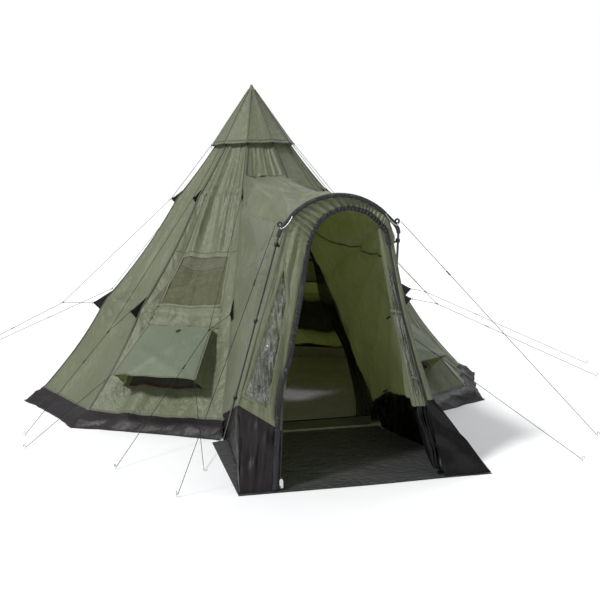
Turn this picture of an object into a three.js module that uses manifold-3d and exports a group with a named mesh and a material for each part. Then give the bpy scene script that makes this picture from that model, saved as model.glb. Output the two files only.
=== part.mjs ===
// Teepee tent with an arched front porch.
//
// A ten-sided pyramid of sewn wall panels hangs from one centre pole. A rain cap covers its open top, a sod
// skirt flares onto the ground round its foot, and guy lines from the ridges hold the shape out. The porch
// stands on a curved pole with two straight legs. Four vent hoods are hinged on the walls.
//
// Millimetres, +Z up. The origin is on the ground under the centre pole, and the porch faces -Y.
// Azimuths are in degrees about +Z, from 0 at -Y (the porch) towards +X.
import * as THREE from "three";
import { ConvexGeometry } from "three/addons/geometries/ConvexGeometry.js";
import { mergeVertices } from "three/addons/utils/BufferGeometryUtils.js";
import Module from "manifold-3d";

const wasm = await Module();
wasm.setup();

// ---------------------------------------------------------------- driving dimensions

const GAP = 0.3; // clearance between pieces that touch
const CLOTH = 4; // thickness of the closed solids that hold the place of cloth
const SHEET = 2; // thickness of the sheets on the ground

const SIDES = 10;
const SIDE_DEG = 360 / SIDES;
const HALF_SIDE_DEG = SIDE_DEG / 2;
const RIDGE_APEX_Z = 3413; // where the ridge lines would meet
const RIDGE_SLOPE = 0.7546; // ridge radius gained for each millimetre of drop
const WALL_TOP_Z = 3000;
const WALL_FOOT_Z = 140;
const PORCH_SEAM_Z = 2450; // where the porch roof joins the front face
const SKIRT_RADIUS = 2680; // ground corners of the sod skirt

const CAP_TIP_Z = 3500;
const CAP_HEM_Z = 2830;
const CAP_HEM_RADIUS = 470;

const FLOOR_RADIUS = 2400;

// Guy-out patches: triangles sewn on each ridge, pulled out by the guy lines.
const UPPER_PATCH = { top: 2300, foot: 2195, tipRadius: 955, tipZ: 2220 };
const LOWER_PATCH = { top: 1185, foot: 1015, tipRadius: 1880, tipZ: 1075 };

// Centre pole: three steel sections joined by swaged spigots.
const POLE_RADIUS = 16;
const POLE_WALL = 1.5;
const SPIGOT_LENGTH = 90;
const POLE_JOINTS_Z = [1140, 2270];
const POLE_TOP_Z = 3400;
const FOOT_PLATE_RADIUS = 45;

// Porch
const ARCH_Y = -3930;
const ARCH_CROWN_Z = 2235;
const ARCH_RADIUS = 543;
const ARCH_HALF_DEG = 46;
const ARCH_TUBE_RADIUS = 11;
const LEG_RADIUS = 10;
const LEG_HEAD = [492, -3926, 1925];
const LEG_FOOT = [790, -2590, 4];
const FRONT_FOOT_Y = -4330; // the porch's front face meets the ground here
const FRONT_LEAN = 0.19324; // how far the front face leans back for each millimetre of height

// Vent hoods: flaps hinged to the wall along their top hem, held open by their guy lines.
const HOOD = { hingeZ: 930, length: 691, topHalf: 380, footHalf: 475, openDeg: 17, standOff: 8 };

const CORD_RADIUS = 2.5;
const STAKE_RADIUS = 4;
const STAKE_HEIGHT = 46;

// ---------------------------------------------------------------- materials

const material = (color, roughness, metalness = 0) =>
  new THREE.MeshStandardMaterial({ color, roughness, metalness });

const OLIVE = material(0x6f7a58, 0.75);
const OLIVE_CAP = material(0x77826a, 0.75);
const BLACK_CLOTH = material(0x2f2a2d, 0.6);
const BLACK_SHEET = material(0x1d1f20, 0.45);
const GREY_SHEET = material(0x4d5150, 0.6);
const MESH_CLOTH = material(0x1c1a18, 0.85);
const STEEL = material(0xa7abad, 0.35, 1);
const GREEN_PAINT = material(0x12302a, 0.4, 0.4);
const BLACK_PLASTIC = material(0x121212, 0.5);
const WHITE_PLASTIC = material(0xe9e9e6, 0.5);
const CORD = material(0x3a3c3b, 0.9);

// ---------------------------------------------------------------- helpers

const tent = new THREE.Group();

function add(name, geometry, look) {
  const mesh = new THREE.Mesh(geometry, look);
  mesh.name = name;
  tent.add(mesh);
  return mesh;
}

const vec = (p) => new THREE.Vector3(...p);

// A point by azimuth, distance from the pole and height, moved sideways towards +azimuth.
function polar(azimuthDeg, radius, z, sideways = 0) {
  const a = THREE.MathUtils.degToRad(azimuthDeg);
  return new THREE.Vector3(
    radius * Math.sin(a) + sideways * Math.cos(a),
    -radius * Math.cos(a) + sideways * Math.sin(a),
    z,
  );
}

const ridgeRadius = (z) => RIDGE_SLOPE * (RIDGE_APEX_Z - z);

// The slope of a face's middle line, and the ridge radius that one cloth thickness takes up.
const HALF_SIDE_COS = Math.cos(THREE.MathUtils.degToRad(HALF_SIDE_DEG));
const FACE_SLOPE = HALF_SIDE_COS * RIDGE_SLOPE;
const CLOTH_IN = (CLOTH * Math.hypot(1, FACE_SLOPE)) / HALF_SIDE_COS;

// Turns every face outwards when the closed body has been built inside out.
function facingOut(geometry) {
  const solid = geometry.index ? geometry : mergeVertices(geometry);
  const p = solid.attributes.position;
  const corner = [0, 1, 2].map(() => new THREE.Vector3());
  let volume = 0;
  for (let i = 0; i < solid.index.count; i += 3) {
    corner.forEach((c, k) => c.fromBufferAttribute(p, solid.index.getX(i + k)));
    volume += corner[0].dot(corner[1].clone().cross(corner[2]));
  }
  if (volume < 0) {
    for (let i = 0; i < solid.index.count; i += 3) {
      const first = solid.index.getX(i);
      solid.index.setX(i, solid.index.getX(i + 1));
      solid.index.setX(i + 1, first);
    }
  }
  return solid;
}

// A closed sheet between two grids of points, outer[row][column] and inner[row][column].
function sheetSolid(outer, inner) {
  const rows = outer.length;
  const columns = outer[0].length;
  const points = [...outer.flat(), ...inner.flat()];
  const at = (r, c, side) => side * rows * columns + r * columns + c;
  const index = [];
  const quad = (a, b, c, d) => index.push(a, b, c, a, c, d);
  for (let r = 0; r + 1 < rows; r++) {
    for (let c = 0; c + 1 < columns; c++) {
      quad(at(r, c, 0), at(r, c + 1, 0), at(r + 1, c + 1, 0), at(r + 1, c, 0));
      quad(at(r, c, 1), at(r + 1, c, 1), at(r + 1, c + 1, 1), at(r, c + 1, 1));
    }
    quad(at(r, 0, 0), at(r + 1, 0, 0), at(r + 1, 0, 1), at(r, 0, 1));
    quad(at(r + 1, columns - 1, 0), at(r, columns - 1, 0), at(r, columns - 1, 1), at(r + 1, columns - 1, 1));
  }
  for (let c = 0; c + 1 < columns; c++) {
    quad(at(0, c + 1, 0), at(0, c, 0), at(0, c, 1), at(0, c + 1, 1));
    quad(at(rows - 1, c, 0), at(rows - 1, c + 1, 0), at(rows - 1, c + 1, 1), at(rows - 1, c, 1));
  }
  const geometry = new THREE.BufferGeometry().setFromPoints(points);
  geometry.setIndex(index);
  return facingOut(geometry);
}

// A closed sheet from one grid, thickened by the same offset everywhere.
const thickened = (grid, offset) =>
  sheetSolid(grid, grid.map((row) => row.map((p) => p.clone().add(offset))));

// A solid of revolution about +Z, from [radius, z] pairs that close on the axis or on themselves.
function turned(profile, segments, startDeg = 0) {
  const points = profile.map(([r, z]) => new THREE.Vector2(r, z));
  const start = THREE.MathUtils.degToRad(startDeg);
  return new THREE.LatheGeometry(points, segments, start).rotateX(Math.PI / 2);
}

// Manifold joins and cuts.
function toManifold(geometry) {
  const bare = geometry.clone();
  bare.deleteAttribute("normal");
  bare.deleteAttribute("uv");
  const solid = mergeVertices(bare);
  return new wasm.Manifold(
    new wasm.Mesh({
      numProp: 3,
      vertProperties: new Float32Array(solid.attributes.position.array),
      triVerts: new Uint32Array(solid.index.array),
    }),
  );
}

function joined(...geometries) {
  const [first, ...others] = geometries.map(toManifold);
  const mesh = others.reduce((whole, other) => whole.add(other), first).getMesh();
  const geometry = new THREE.BufferGeometry();
  geometry.setAttribute("position", new THREE.BufferAttribute(new Float32Array(mesh.vertProperties), 3));
  geometry.setIndex(new THREE.BufferAttribute(new Uint32Array(mesh.triVerts), 1));
  return geometry;
}

// A round tube along a curve.
function tube(curve, radius, sides, steps) {
  const section = new THREE.Shape();
  for (let i = 0; i < sides; i++) {
    const a = (i / sides) * 2 * Math.PI;
    section[i ? "lineTo" : "moveTo"](radius * Math.cos(a), radius * Math.sin(a));
  }
  section.closePath();
  return new THREE.ExtrudeGeometry(section, { extrudePath: curve, steps, bevelEnabled: false });
}

const straight = (from, to) => new THREE.LineCurve3(from, to);

// A flat plate drawn in x and y, put where its x and y axes point along the given directions.
function plate(outline, thickness, origin, xAxis, yAxis, holes = []) {
  const shape = new THREE.Shape(outline.map(([x, y]) => new THREE.Vector2(x, y)));
  shape.holes = holes;
  const zAxis = xAxis.clone().cross(yAxis);
  const placement = new THREE.Matrix4().makeBasis(xAxis, yAxis, zAxis).setPosition(origin);
  const geometry = new THREE.ExtrudeGeometry(shape, { depth: thickness, bevelEnabled: false, curveSegments: 6 });
  return geometry.applyMatrix4(placement);
}

// ---------------------------------------------------------------- centre pole

function centrePole() {
  const bore = POLE_RADIUS - POLE_WALL;
  const spigot = bore - 0.4;
  const footTop = SHEET + GAP + 14;
  const bottoms = [footTop + GAP, POLE_JOINTS_Z[0] + GAP, POLE_JOINTS_Z[1] + GAP];
  const tops = [...POLE_JOINTS_Z, POLE_TOP_Z];
  ["lower", "middle", "upper"].forEach((name, i) => {
    const swaged = i < POLE_JOINTS_Z.length;
    const end = swaged
      ? [[spigot, tops[i]], [spigot, tops[i] + SPIGOT_LENGTH], [spigot - POLE_WALL, tops[i] + SPIGOT_LENGTH]]
      : [];
    const inside = swaged ? [spigot - POLE_WALL, tops[i] - POLE_WALL] : [bore, tops[i]];
    const profile = [[bore, bottoms[i]], [POLE_RADIUS, bottoms[i]], [POLE_RADIUS, tops[i]], ...end, inside];
    if (swaged) profile.push([bore, tops[i] - 2 * POLE_WALL]);
    add(`center_pole_${name}`, facingOut(turned([...profile, profile[0]], 12)), STEEL);
  });

  // The foot is a plate with a plug inside the tube, and the top plug has a rounded crown under the rain cap.
  const base = SHEET + GAP;
  const plugRadius = bore - 0.5;
  const foot = [
    [0, base], [FOOT_PLATE_RADIUS, base], [FOOT_PLATE_RADIUS, base + 6], [22, footTop],
    [plugRadius, footTop], [plugRadius, footTop + 50], [0, footTop + 50],
  ];
  add("center_pole_foot", facingOut(turned(foot, 16)), BLACK_PLASTIC);
  const seat = POLE_TOP_Z + GAP;
  const crown = [
    [0, seat - 50], [plugRadius, seat - 50], [plugRadius, seat], [20, seat],
    [20, seat + 24], [14, seat + 36], [0, seat + 42],
  ];
  add("center_pole_cap", facingOut(turned(crown, 16)), BLACK_PLASTIC);
}

// ---------------------------------------------------------------- pyramid walls

// A guy-out patch stands out of the wall as a thin triangle beside its ridge.
function guyPatch(ridgeDeg, patch, towards) {
  const rooted = (z) => [ridgeRadius(z) - 3, z];
  const corners = [rooted(patch.top), rooted(patch.foot), [patch.tipRadius, patch.tipZ]];
  const sides = [GAP, GAP + CLOTH].map((s) => corners.map(([r, z]) => polar(ridgeDeg, r, z, towards * s)));
  return new ConvexGeometry(sides.flat());
}

// One flat face of the pyramid, between two ridges.
function wallFace(middleDeg, footZ) {
  const corners = [];
  for (const z of [footZ, WALL_TOP_Z]) {
    for (const side of [-1, 1]) {
      for (const radius of [ridgeRadius(z), ridgeRadius(z) - CLOTH_IN]) {
        corners.push(polar(middleDeg + side * HALF_SIDE_DEG, radius, z, -side * GAP * 0.5));
      }
    }
  }
  return new ConvexGeometry(corners);
}

// Panels are numbered round the tent from the front face. Each side panel carries the patches of the ridge
// nearer the front, and the rear panel those of both its ridges.
function walls() {
  add("wall_panel_1_front", wallFace(0, PORCH_SEAM_Z), OLIVE);
  for (let i = 1; i < SIDES; i++) {
    const middle = i * SIDE_DEG;
    const frontSides = i < SIDES / 2 ? [-1] : i > SIDES / 2 ? [1] : [-1, 1];
    const patches = frontSides.flatMap((side) =>
      [UPPER_PATCH, LOWER_PATCH].map((p) => guyPatch(middle + side * HALF_SIDE_DEG, p, -side)),
    );
    add(`wall_panel_${i + 1}`, joined(wallFace(middle, WALL_FOOT_Z), ...patches), OLIVE);
  }
}

function rainCap() {
  const slope = CAP_HEM_RADIUS / (CAP_TIP_Z - CAP_HEM_Z);
  const inside = CLOTH * Math.hypot(1, slope);
  const profile = [
    [0, CAP_TIP_Z], [CAP_HEM_RADIUS, CAP_HEM_Z],
    [CAP_HEM_RADIUS - inside, CAP_HEM_Z], [0, CAP_TIP_Z - inside / slope],
  ];
  add("rain_cap", facingOut(turned(profile, SIDES, HALF_SIDE_DEG)), OLIVE_CAP);
}

// The skirt runs from one side of the doorway round the back to the other.
function sodSkirt() {
  const top = WALL_FOOT_Z - GAP;
  const outer = [];
  const inner = [];
  for (let i = 0; i < SIDES; i++) {
    const ridge = HALF_SIDE_DEG + i * SIDE_DEG;
    outer.push([polar(ridge, ridgeRadius(WALL_FOOT_Z), top), polar(ridge, SKIRT_RADIUS, 0)]);
    inner.push([polar(ridge, ridgeRadius(WALL_FOOT_Z) - 5, top), polar(ridge, SKIRT_RADIUS - 7, 0)]);
  }
  add("sod_skirt", sheetSolid(outer, inner), BLACK_CLOTH);
}

function floor() {
  const profile = [[0, 0], [FLOOR_RADIUS, 0], [FLOOR_RADIUS, SHEET], [0, SHEET]];
  add("floor_sheet", facingOut(turned(profile, SIDES, HALF_SIDE_DEG)), GREY_SHEET);
}

// ---------------------------------------------------------------- vent hoods

// Directions on a face: along its hinge, down its slope and out of it.
function faceFrame(middleDeg) {
  const out = polar(middleDeg, 1, 0);
  const up = new THREE.Vector3(0, 0, 1);
  const length = Math.hypot(1, FACE_SLOPE);
  return {
    along: polar(middleDeg, 0, 0, 1),
    down: out.clone().multiplyScalar(FACE_SLOPE).sub(up).divideScalar(length),
    normal: out.clone().addScaledVector(up, FACE_SLOPE).divideScalar(length),
  };
}

// A point on the open flap: sideways along the hinge, and down from it.
function onHood(middleDeg, sideways, distance, lift = 0) {
  const { along, down, normal } = faceFrame(middleDeg);
  const open = THREE.MathUtils.degToRad(HOOD.openDeg);
  const hinge = polar(middleDeg, FACE_SLOPE * (RIDGE_APEX_Z - HOOD.hingeZ), HOOD.hingeZ);
  const flap = down.clone().multiplyScalar(Math.cos(open)).addScaledVector(normal, Math.sin(open));
  const face = along.clone().cross(flap).negate();
  return hinge
    .addScaledVector(normal, HOOD.standOff)
    .addScaledVector(along, sideways)
    .addScaledVector(flap, distance)
    .addScaledVector(face, lift);
}

const HOOD_SIDES = { front_left: -36, front_right: 36, rear_left: -144, rear_right: 144 };

function ventHoods() {
  for (const [name, middle] of Object.entries(HOOD_SIDES)) {
    const corners = [0, CLOTH].flatMap((lift) => [
      onHood(middle, -HOOD.topHalf, 0, lift), onHood(middle, HOOD.topHalf, 0, lift),
      onHood(middle, -HOOD.footHalf, HOOD.length, lift), onHood(middle, HOOD.footHalf, HOOD.length, lift),
    ]);
    add(`vent_hood_${name}`, new ConvexGeometry(corners), OLIVE);
  }
}

// ---------------------------------------------------------------- porch frame

const frontY = (z) => FRONT_FOOT_Y + FRONT_LEAN * z;
const archPoint = (deg, radius = ARCH_RADIUS, y = ARCH_Y) => {
  const a = THREE.MathUtils.degToRad(deg);
  const centre = ARCH_CROWN_Z - ARCH_RADIUS;
  return new THREE.Vector3(radius * Math.sin(a), y, centre + radius * Math.cos(a));
};

class ArchCurve extends THREE.Curve {
  getPoint(t, target = new THREE.Vector3()) {
    return target.copy(archPoint((2 * t - 1) * ARCH_HALF_DEG));
  }
}

// The elbow is a bent socket between the arch and the leg, with an eye for the porch's guy line.
const LUG = { x: 478, y: -3936, z: 2017, radius: 24, hole: 9, thickness: 8 };
function elbow(side, head, foot) {
  const arch = archPoint(side * (ARCH_HALF_DEG + 0.1));
  const endAngle = THREE.MathUtils.degToRad(ARCH_HALF_DEG);
  const alongArch = new THREE.Vector3(side * Math.cos(endAngle), 0, -Math.sin(endAngle));
  const alongLeg = foot.clone().sub(head).normalize();
  const bend = new THREE.CubicBezierCurve3(
    arch, arch.clone().addScaledVector(alongArch, 70), head.clone().addScaledVector(alongLeg, -60), head,
  );
  const eye = new THREE.Path().absarc(0, 0, LUG.hole, 0, 2 * Math.PI, true);
  const lug = [...Array(12).keys()].map((i) => {
    const a = (i / 12) * 2 * Math.PI;
    return [LUG.radius * Math.cos(a), LUG.radius * Math.sin(a)];
  });
  const centre = new THREE.Vector3(side * LUG.x, LUG.y, LUG.z);
  const lugPlate = plate(lug, LUG.thickness, centre, new THREE.Vector3(1, 0, 0), new THREE.Vector3(0, 0, 1), [eye]);
  return joined(tube(bend, 17, 10, 8), lugPlate);
}

function porchFrame() {
  add("porch_arch_pole", tube(new ArchCurve(), ARCH_TUBE_RADIUS, 10, 20), BLACK_CLOTH);
  for (const [name, side] of [["left", -1], ["right", 1]]) {
    const [headX, headY, headZ] = LEG_HEAD;
    const head = new THREE.Vector3(side * headX, headY, headZ);
    const foot = new THREE.Vector3(side * LEG_FOOT[0], LEG_FOOT[1], LEG_FOOT[2] + LEG_RADIUS);
    const top = head.clone().lerp(foot, 0.001);
    add(`porch_elbow_${name}`, elbow(side, head, foot), BLACK_PLASTIC);
    add(`porch_leg_${name}`, tube(straight(top, foot), LEG_RADIUS, 10, 1), GREEN_PAINT);
  }
}

// ---------------------------------------------------------------- porch cloth

// The front edge of each side wall, from the arch down to the top of the black band, as [x, z]. The left side
// is staked out straight, and the right side hangs in slackly.
const FRONT_EDGE = {
  left: [[-383, 2036], [-572, 1567], [-740, 1103], [-890, 652]],
  right: [[383, 2036], [488, 1393], [566, 998], [660, 606]],
};
const SIDE_ROWS = 5;
const LEG_INSET = 24;
const ARCH_CORNER = [390, -3888, 2036];
const BAND_TOP_AT_LEG_Z = 424;

// A point just inside a porch leg, at a given height.
function besideLeg(side, z) {
  const t = (LEG_HEAD[2] - z) / (LEG_HEAD[2] - LEG_FOOT[2]);
  const [x, y] = [0, 1].map((k) => THREE.MathUtils.lerp(LEG_HEAD[k], LEG_FOOT[k], t));
  return new THREE.Vector3(side * (x - LEG_INSET), y, z);
}

// Each row of a side wall runs from the ridge, past the leg, to the front edge.
function sideWall(name, side) {
  const edge = new THREE.CatmullRomCurve3(FRONT_EDGE[name].map(([x, z]) => new THREE.Vector3(x, frontY(z) + 9, z)));
  const rows = [];
  for (let i = 0; i < SIDE_ROWS; i++) {
    const t = i / (SIDE_ROWS - 1);
    const ridgeZ = THREE.MathUtils.lerp(PORCH_SEAM_Z - 12, 205, t);
    const ridge = polar(side * HALF_SIDE_DEG, ridgeRadius(ridgeZ), ridgeZ, -side * 6);
    const [cornerX, cornerY, cornerZ] = ARCH_CORNER;
    const legZ = THREE.MathUtils.lerp(cornerZ, BAND_TOP_AT_LEG_Z, t);
    const middle = i ? besideLeg(side, legZ) : new THREE.Vector3(side * cornerX, cornerY, cornerZ);
    rows.push([ridge, middle, edge.getPoint(t)]);
  }
  return thickened(rows, new THREE.Vector3(-side * CLOTH, 0, 0));
}

// The roof sweeps from the arch to the seam on the front face, sagging a little between them.
const ROOF_SAG = 45;
function porchRoof() {
  const half = ridgeRadius(PORCH_SEAM_Z) * Math.sin(THREE.MathUtils.degToRad(HALF_SIDE_DEG));
  const seamY = -ridgeRadius(PORCH_SEAM_Z) * HALF_SIDE_COS - 5;
  const columns = 8;
  const rows = [];
  for (const t of [0, 0.25, 0.5, 0.75, 1]) {
    const row = [];
    for (let c = 0; c <= columns; c++) {
      const s = (2 * c) / columns - 1;
      const front = archPoint(s * (ARCH_HALF_DEG - 0.4), ARCH_RADIUS, ARCH_Y + 14);
      const rear = new THREE.Vector3(s * (half - 3), seamY, PORCH_SEAM_Z - 3);
      const point = front.lerp(rear, t);
      point.z -= ROOF_SAG * 4 * t * (1 - t) * (1 - s * s);
      row.push(point);
    }
    rows.push(row);
  }
  return thickened(rows, new THREE.Vector3(0, 0, -CLOTH));
}

// The doorway's edge, as [x, z]: up the left jamb, over the crown and down the right edge.
const DOORWAY = [
  [-560, 446], [-531, 678], [-452, 1052], [-356, 1430], [-288, 1736], [-237, 1905], [-138, 2051], [45, 2132],
  [190, 2112], [272, 2063], [345, 1985], [385, 1900], [448, 1393], [526, 998], [612, 604],
];
const HEADER_RADIUS = ARCH_RADIUS - ARCH_TUBE_RADIUS - 6;

function frontWall() {
  const lean = Math.hypot(1, FRONT_LEAN);
  const upRight = new THREE.Vector3(0, FRONT_LEAN, 1).divideScalar(lean);
  const arch = [-1, -0.75, -0.5, -0.25, 0, 0.25, 0.5, 0.75, 1].map((s) => {
    const p = archPoint(-s * 44, HEADER_RADIUS);
    return [p.x, p.z];
  });
  const leftEdge = FRONT_EDGE.left.slice(1).map(([x, z]) => [x + 8, z]);
  const rightEdge = FRONT_EDGE.right.slice(1).reverse().map(([x, z]) => [x - 8, z]);
  const outline = [...DOORWAY, ...rightEdge, ...arch, ...leftEdge, [-646, 446]].map(([x, z]) => [x, z * lean]);
  const origin = new THREE.Vector3(0, FRONT_FOOT_Y + CLOTH, 0);
  return plate(outline, CLOTH, origin, new THREE.Vector3(1, 0, 0), upRight);
}

// The black bands at the foot of the porch, as [x, y, z] along their top and their bottom edges, from the ridge
// past the leg to the front corner and round to the door.
const BAND_FOOT_Z = SHEET + GAP;
const BANDS = {
  left: {
    top: [[-744, -2330, 190], [-700, -2890, 412], [-893, -4196, 642], [-646, -4240, 438], [-562, -4240, 438]],
    foot: [[-770, -2400, BAND_FOOT_Z], [-766, -2660, BAND_FOOT_Z], [-914, -4322, BAND_FOOT_Z],
      [-700, -4324, BAND_FOOT_Z], [-606, -4324, BAND_FOOT_Z]],
  },
  right: {
    top: [[744, -2330, 190], [700, -2890, 412], [658, -4206, 594], [640, -4212, 590], [616, -4212, 590]],
    foot: [[770, -2400, BAND_FOOT_Z], [766, -2660, BAND_FOOT_Z], [1120, -4300, BAND_FOOT_Z],
      [930, -4330, BAND_FOOT_Z], [730, -4330, BAND_FOOT_Z]],
  },
};

function band(side, { top, foot }) {
  const outer = top.map((p, i) => [vec(p), vec(foot[i])]);
  const shift = (i) => new THREE.Vector3(i < 2 ? -side * CLOTH : i > 2 ? 0 : -side * CLOTH, i < 2 ? 0 : CLOTH, 0);
  const inner = outer.map((pair, i) => pair.map((p) => p.clone().add(shift(i))));
  return sheetSolid(outer, inner);
}

function porchGround() {
  const outline = [
    [-950, -2580], [-800, -2580], [-745, -2410], [745, -2410], [800, -2580],
    [950, -2580], [1140, -4345], [760, -4372], [-660, -4372], [-935, -4372],
  ];
  const origin = new THREE.Vector3(0, 0, 0);
  return plate(outline, SHEET, origin, new THREE.Vector3(1, 0, 0), new THREE.Vector3(0, 1, 0));
}

function porchCloth() {
  add("porch_roof", porchRoof(), OLIVE);
  add("porch_wall_left", sideWall("left", -1), OLIVE);
  add("porch_wall_right", sideWall("right", 1), OLIVE);
  add("porch_front_wall", frontWall(), OLIVE);
  add("porch_skirt_left", band(-1, BANDS.left), BLACK_CLOTH);
  add("porch_skirt_right", band(1, BANDS.right), BLACK_CLOTH);
  add("porch_groundsheet", porchGround(), BLACK_SHEET);
}

// ---------------------------------------------------------------- doors

// The threshold stands across the inner doorway between the front ridges.
function threshold() {
  const [half, height, y] = [690, 95, -2338];
  const outline = [[-half, SHEET + GAP], [half, SHEET + GAP], [half, height], [-half, height]];
  const origin = new THREE.Vector3(0, y, 0);
  return plate(outline, CLOTH, origin, new THREE.Vector3(1, 0, 0), new THREE.Vector3(0, 0, 1));
}

// The inner mesh door is drawn to the right and tied along the ridge. It hangs just inside the front face.
function innerDoor() {
  const corners = [];
  for (const [z, far, near] of [[2300, 170, 28], [130, 250, 42]]) {
    const ridge = polar(HALF_SIDE_DEG, ridgeRadius(z), z);
    for (const x of [ridge.x - far, ridge.x - near]) {
      for (const inwards of [16, 40]) corners.push(new THREE.Vector3(x, ridge.y + inwards, z));
    }
  }
  return new ConvexGeometry(corners);
}

// The outer door is unzipped and bunched down the right side of the doorway, inside the front wall.
function outerDoor() {
  const corners = [];
  for (const [x, z, width, depth] of [[345, 1900, 40, 30], [565, 70, 110, 60]]) {
    for (const dx of [-width / 2, width / 2]) {
      for (const dy of [22, 22 + depth]) corners.push(new THREE.Vector3(x + dx, frontY(z) + dy, z));
    }
  }
  return new ConvexGeometry(corners);
}

// The zip slider runs up the left jamb, with its pull tab hanging from it.
const ZIP_FOOT = [-592, 92];
function zip() {
  const [x, z] = ZIP_FOOT;
  const front = frontY(z) - CLOTH;
  const slider = new THREE.BoxGeometry(16, 8, 34).translate(x, front - 5, z);
  add("door_zip_slider", slider, BLACK_PLASTIC);
  const tab = plate(
    [[-14, -70], [14, -70], [14, -12], [7, 0], [-7, 0], [-14, -12]],
    3, new THREE.Vector3(x, front - 9 - GAP, z + 2), new THREE.Vector3(1, 0, 0), new THREE.Vector3(0, 0, 1),
  );
  add("zip_pull_tab", tab, WHITE_PLASTIC);
}

// ---------------------------------------------------------------- guy lines and stakes

// A wire stake with its shank in the ground: the part that shows, a short stem with a hook at its head.
function stake(x, y) {
  const away = new THREE.Vector3(x, y, 0).normalize();
  const at = (out, z) => new THREE.Vector3(x, y, z).addScaledVector(away, out);
  const path = new THREE.CatmullRomCurve3([
    at(0, 0), at(0, STAKE_HEIGHT * 0.4), at(2, STAKE_HEIGHT * 0.8), at(12, STAKE_HEIGHT), at(22, STAKE_HEIGHT * 0.8),
    at(24, STAKE_HEIGHT * 0.55),
  ]);
  return facingOut(tube(path, STAKE_RADIUS, 6, 8));
}

// Lines are looped round their stakes at this height, and where two share a stake one sits above the other.
const LOOP_Z = 18;
const UPPER_LOOP_Z = 30;
const nearStake = ([x, y], from, z = LOOP_Z) => {
  const end = new THREE.Vector3(x, y, z);
  const back = vec(from).sub(end).setZ(0).normalize();
  return end.addScaledVector(back, STAKE_RADIUS + CORD_RADIUS + 1);
};

// A taut line, straight between its corners and turning within a short bend at each. Its steps follow its
// points, so a long straight stretch takes no more of them than a bend does.
const BEND = 60;
function tautLine(corners) {
  const points = [corners[0]];
  for (let i = 1; i + 1 < corners.length; i++) {
    const [before, here, after] = corners.slice(i - 1, i + 2);
    points.push(here.clone().add(before.clone().sub(here).setLength(BEND)), here);
    points.push(here.clone().add(after.clone().sub(here).setLength(BEND)));
  }
  points.push(corners.at(-1));
  const curve = new THREE.CatmullRomCurve3(points, false, "centripetal");
  curve.getUtoTmapping = (u) => u;
  return tube(curve, CORD_RADIUS, 8, 4 * (points.length - 1));
}

// Each ridge line: its ridge, where the short branch to the lower patch meets it, and its stake.
const RIDGE_LINES = {
  left_rear: { ridge: -126, knot: [-1630, 1070, 1133], stake: "left", loopZ: UPPER_LOOP_Z },
  left: { ridge: -90, knot: [-2216, 340, 1062], stake: "left" },
  left_front: { ridge: -54, knot: [-1762, -1250, 894], stake: "left_front" },
  front_left: { ridge: -18, knot: [-826, -2028, 965], stake: "front_left" },
  front_right: { ridge: 18, knot: [845, -2163, 1059], stake: "front_right" },
  right_front: { ridge: 54, knot: [1851, -1000, 996], stake: "right_front" },
  right: { ridge: 90, knot: [2066, 13, 1032], stake: "right" },
};
const STAKES = {
  left: [-4200, 1500],
  left_front: [-2597, -1796],
  front_left: [-1797, -3290],
  front_right: [1970, -4190],
  right_front: [3932, -740],
  right: [4248, 128],
  porch_left: [-1381, -4251],
  porch_right: [2503, -3437],
  hood_outer: [-2570, -2336],
  hood_inner: [-1093, -3557],
};

function guyLines() {
  for (const [name, line] of Object.entries(RIDGE_LINES)) {
    const knot = vec(line.knot);
    const corners = [
      polar(line.ridge, CAP_HEM_RADIUS + 7, CAP_HEM_Z - 5),
      polar(line.ridge, UPPER_PATCH.tipRadius + 7, UPPER_PATCH.tipZ + 3),
      knot,
      nearStake(STAKES[line.stake], line.knot, line.loopZ),
    ];
    const lowerTip = polar(line.ridge, LOWER_PATCH.tipRadius + 5, LOWER_PATCH.tipZ);
    const branch = tube(straight(knot, lowerTip), CORD_RADIUS, 8, 2);
    add(`guy_line_${name}`, joined(tautLine(corners), branch), CORD);
  }
  for (const [name, side] of [["left", -1], ["right", 1]]) {
    const eye = new THREE.Vector3(side * 514, ARCH_Y, 2012);
    const end = nearStake(STAKES[`porch_${name}`], eye.toArray());
    add(`guy_line_porch_${name}`, tautLine([eye, end]), CORD);
  }
  for (const [name, side] of [["outer", -1], ["inner", 1]]) {
    const corner = onHood(HOOD_SIDES.front_left, side * (HOOD.footHalf - 6), HOOD.length + 6, 2);
    const end = nearStake(STAKES[`hood_${name}`], corner.toArray());
    add(`guy_line_hood_${name}`, tautLine([corner, end]), CORD);
  }
  for (const [name, [x, y]] of Object.entries(STAKES)) {
    add(`stake_${name}`, stake(x, y), STEEL);
  }
}

// ---------------------------------------------------------------- assembly

centrePole();
walls();
rainCap();
sodSkirt();
floor();
ventHoods();
porchFrame();
porchCloth();
add("door_threshold", threshold(), OLIVE);
add("inner_mesh_door", innerDoor(), MESH_CLOTH);
add("outer_door", outerDoor(), OLIVE);
zip();
guyLines();

export default tent;
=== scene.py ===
from math import atan2, ceil, cos, exp, hypot, pi, radians, sin

import bpy
import bmesh
from mathutils import Matrix, Vector, noise


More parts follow.
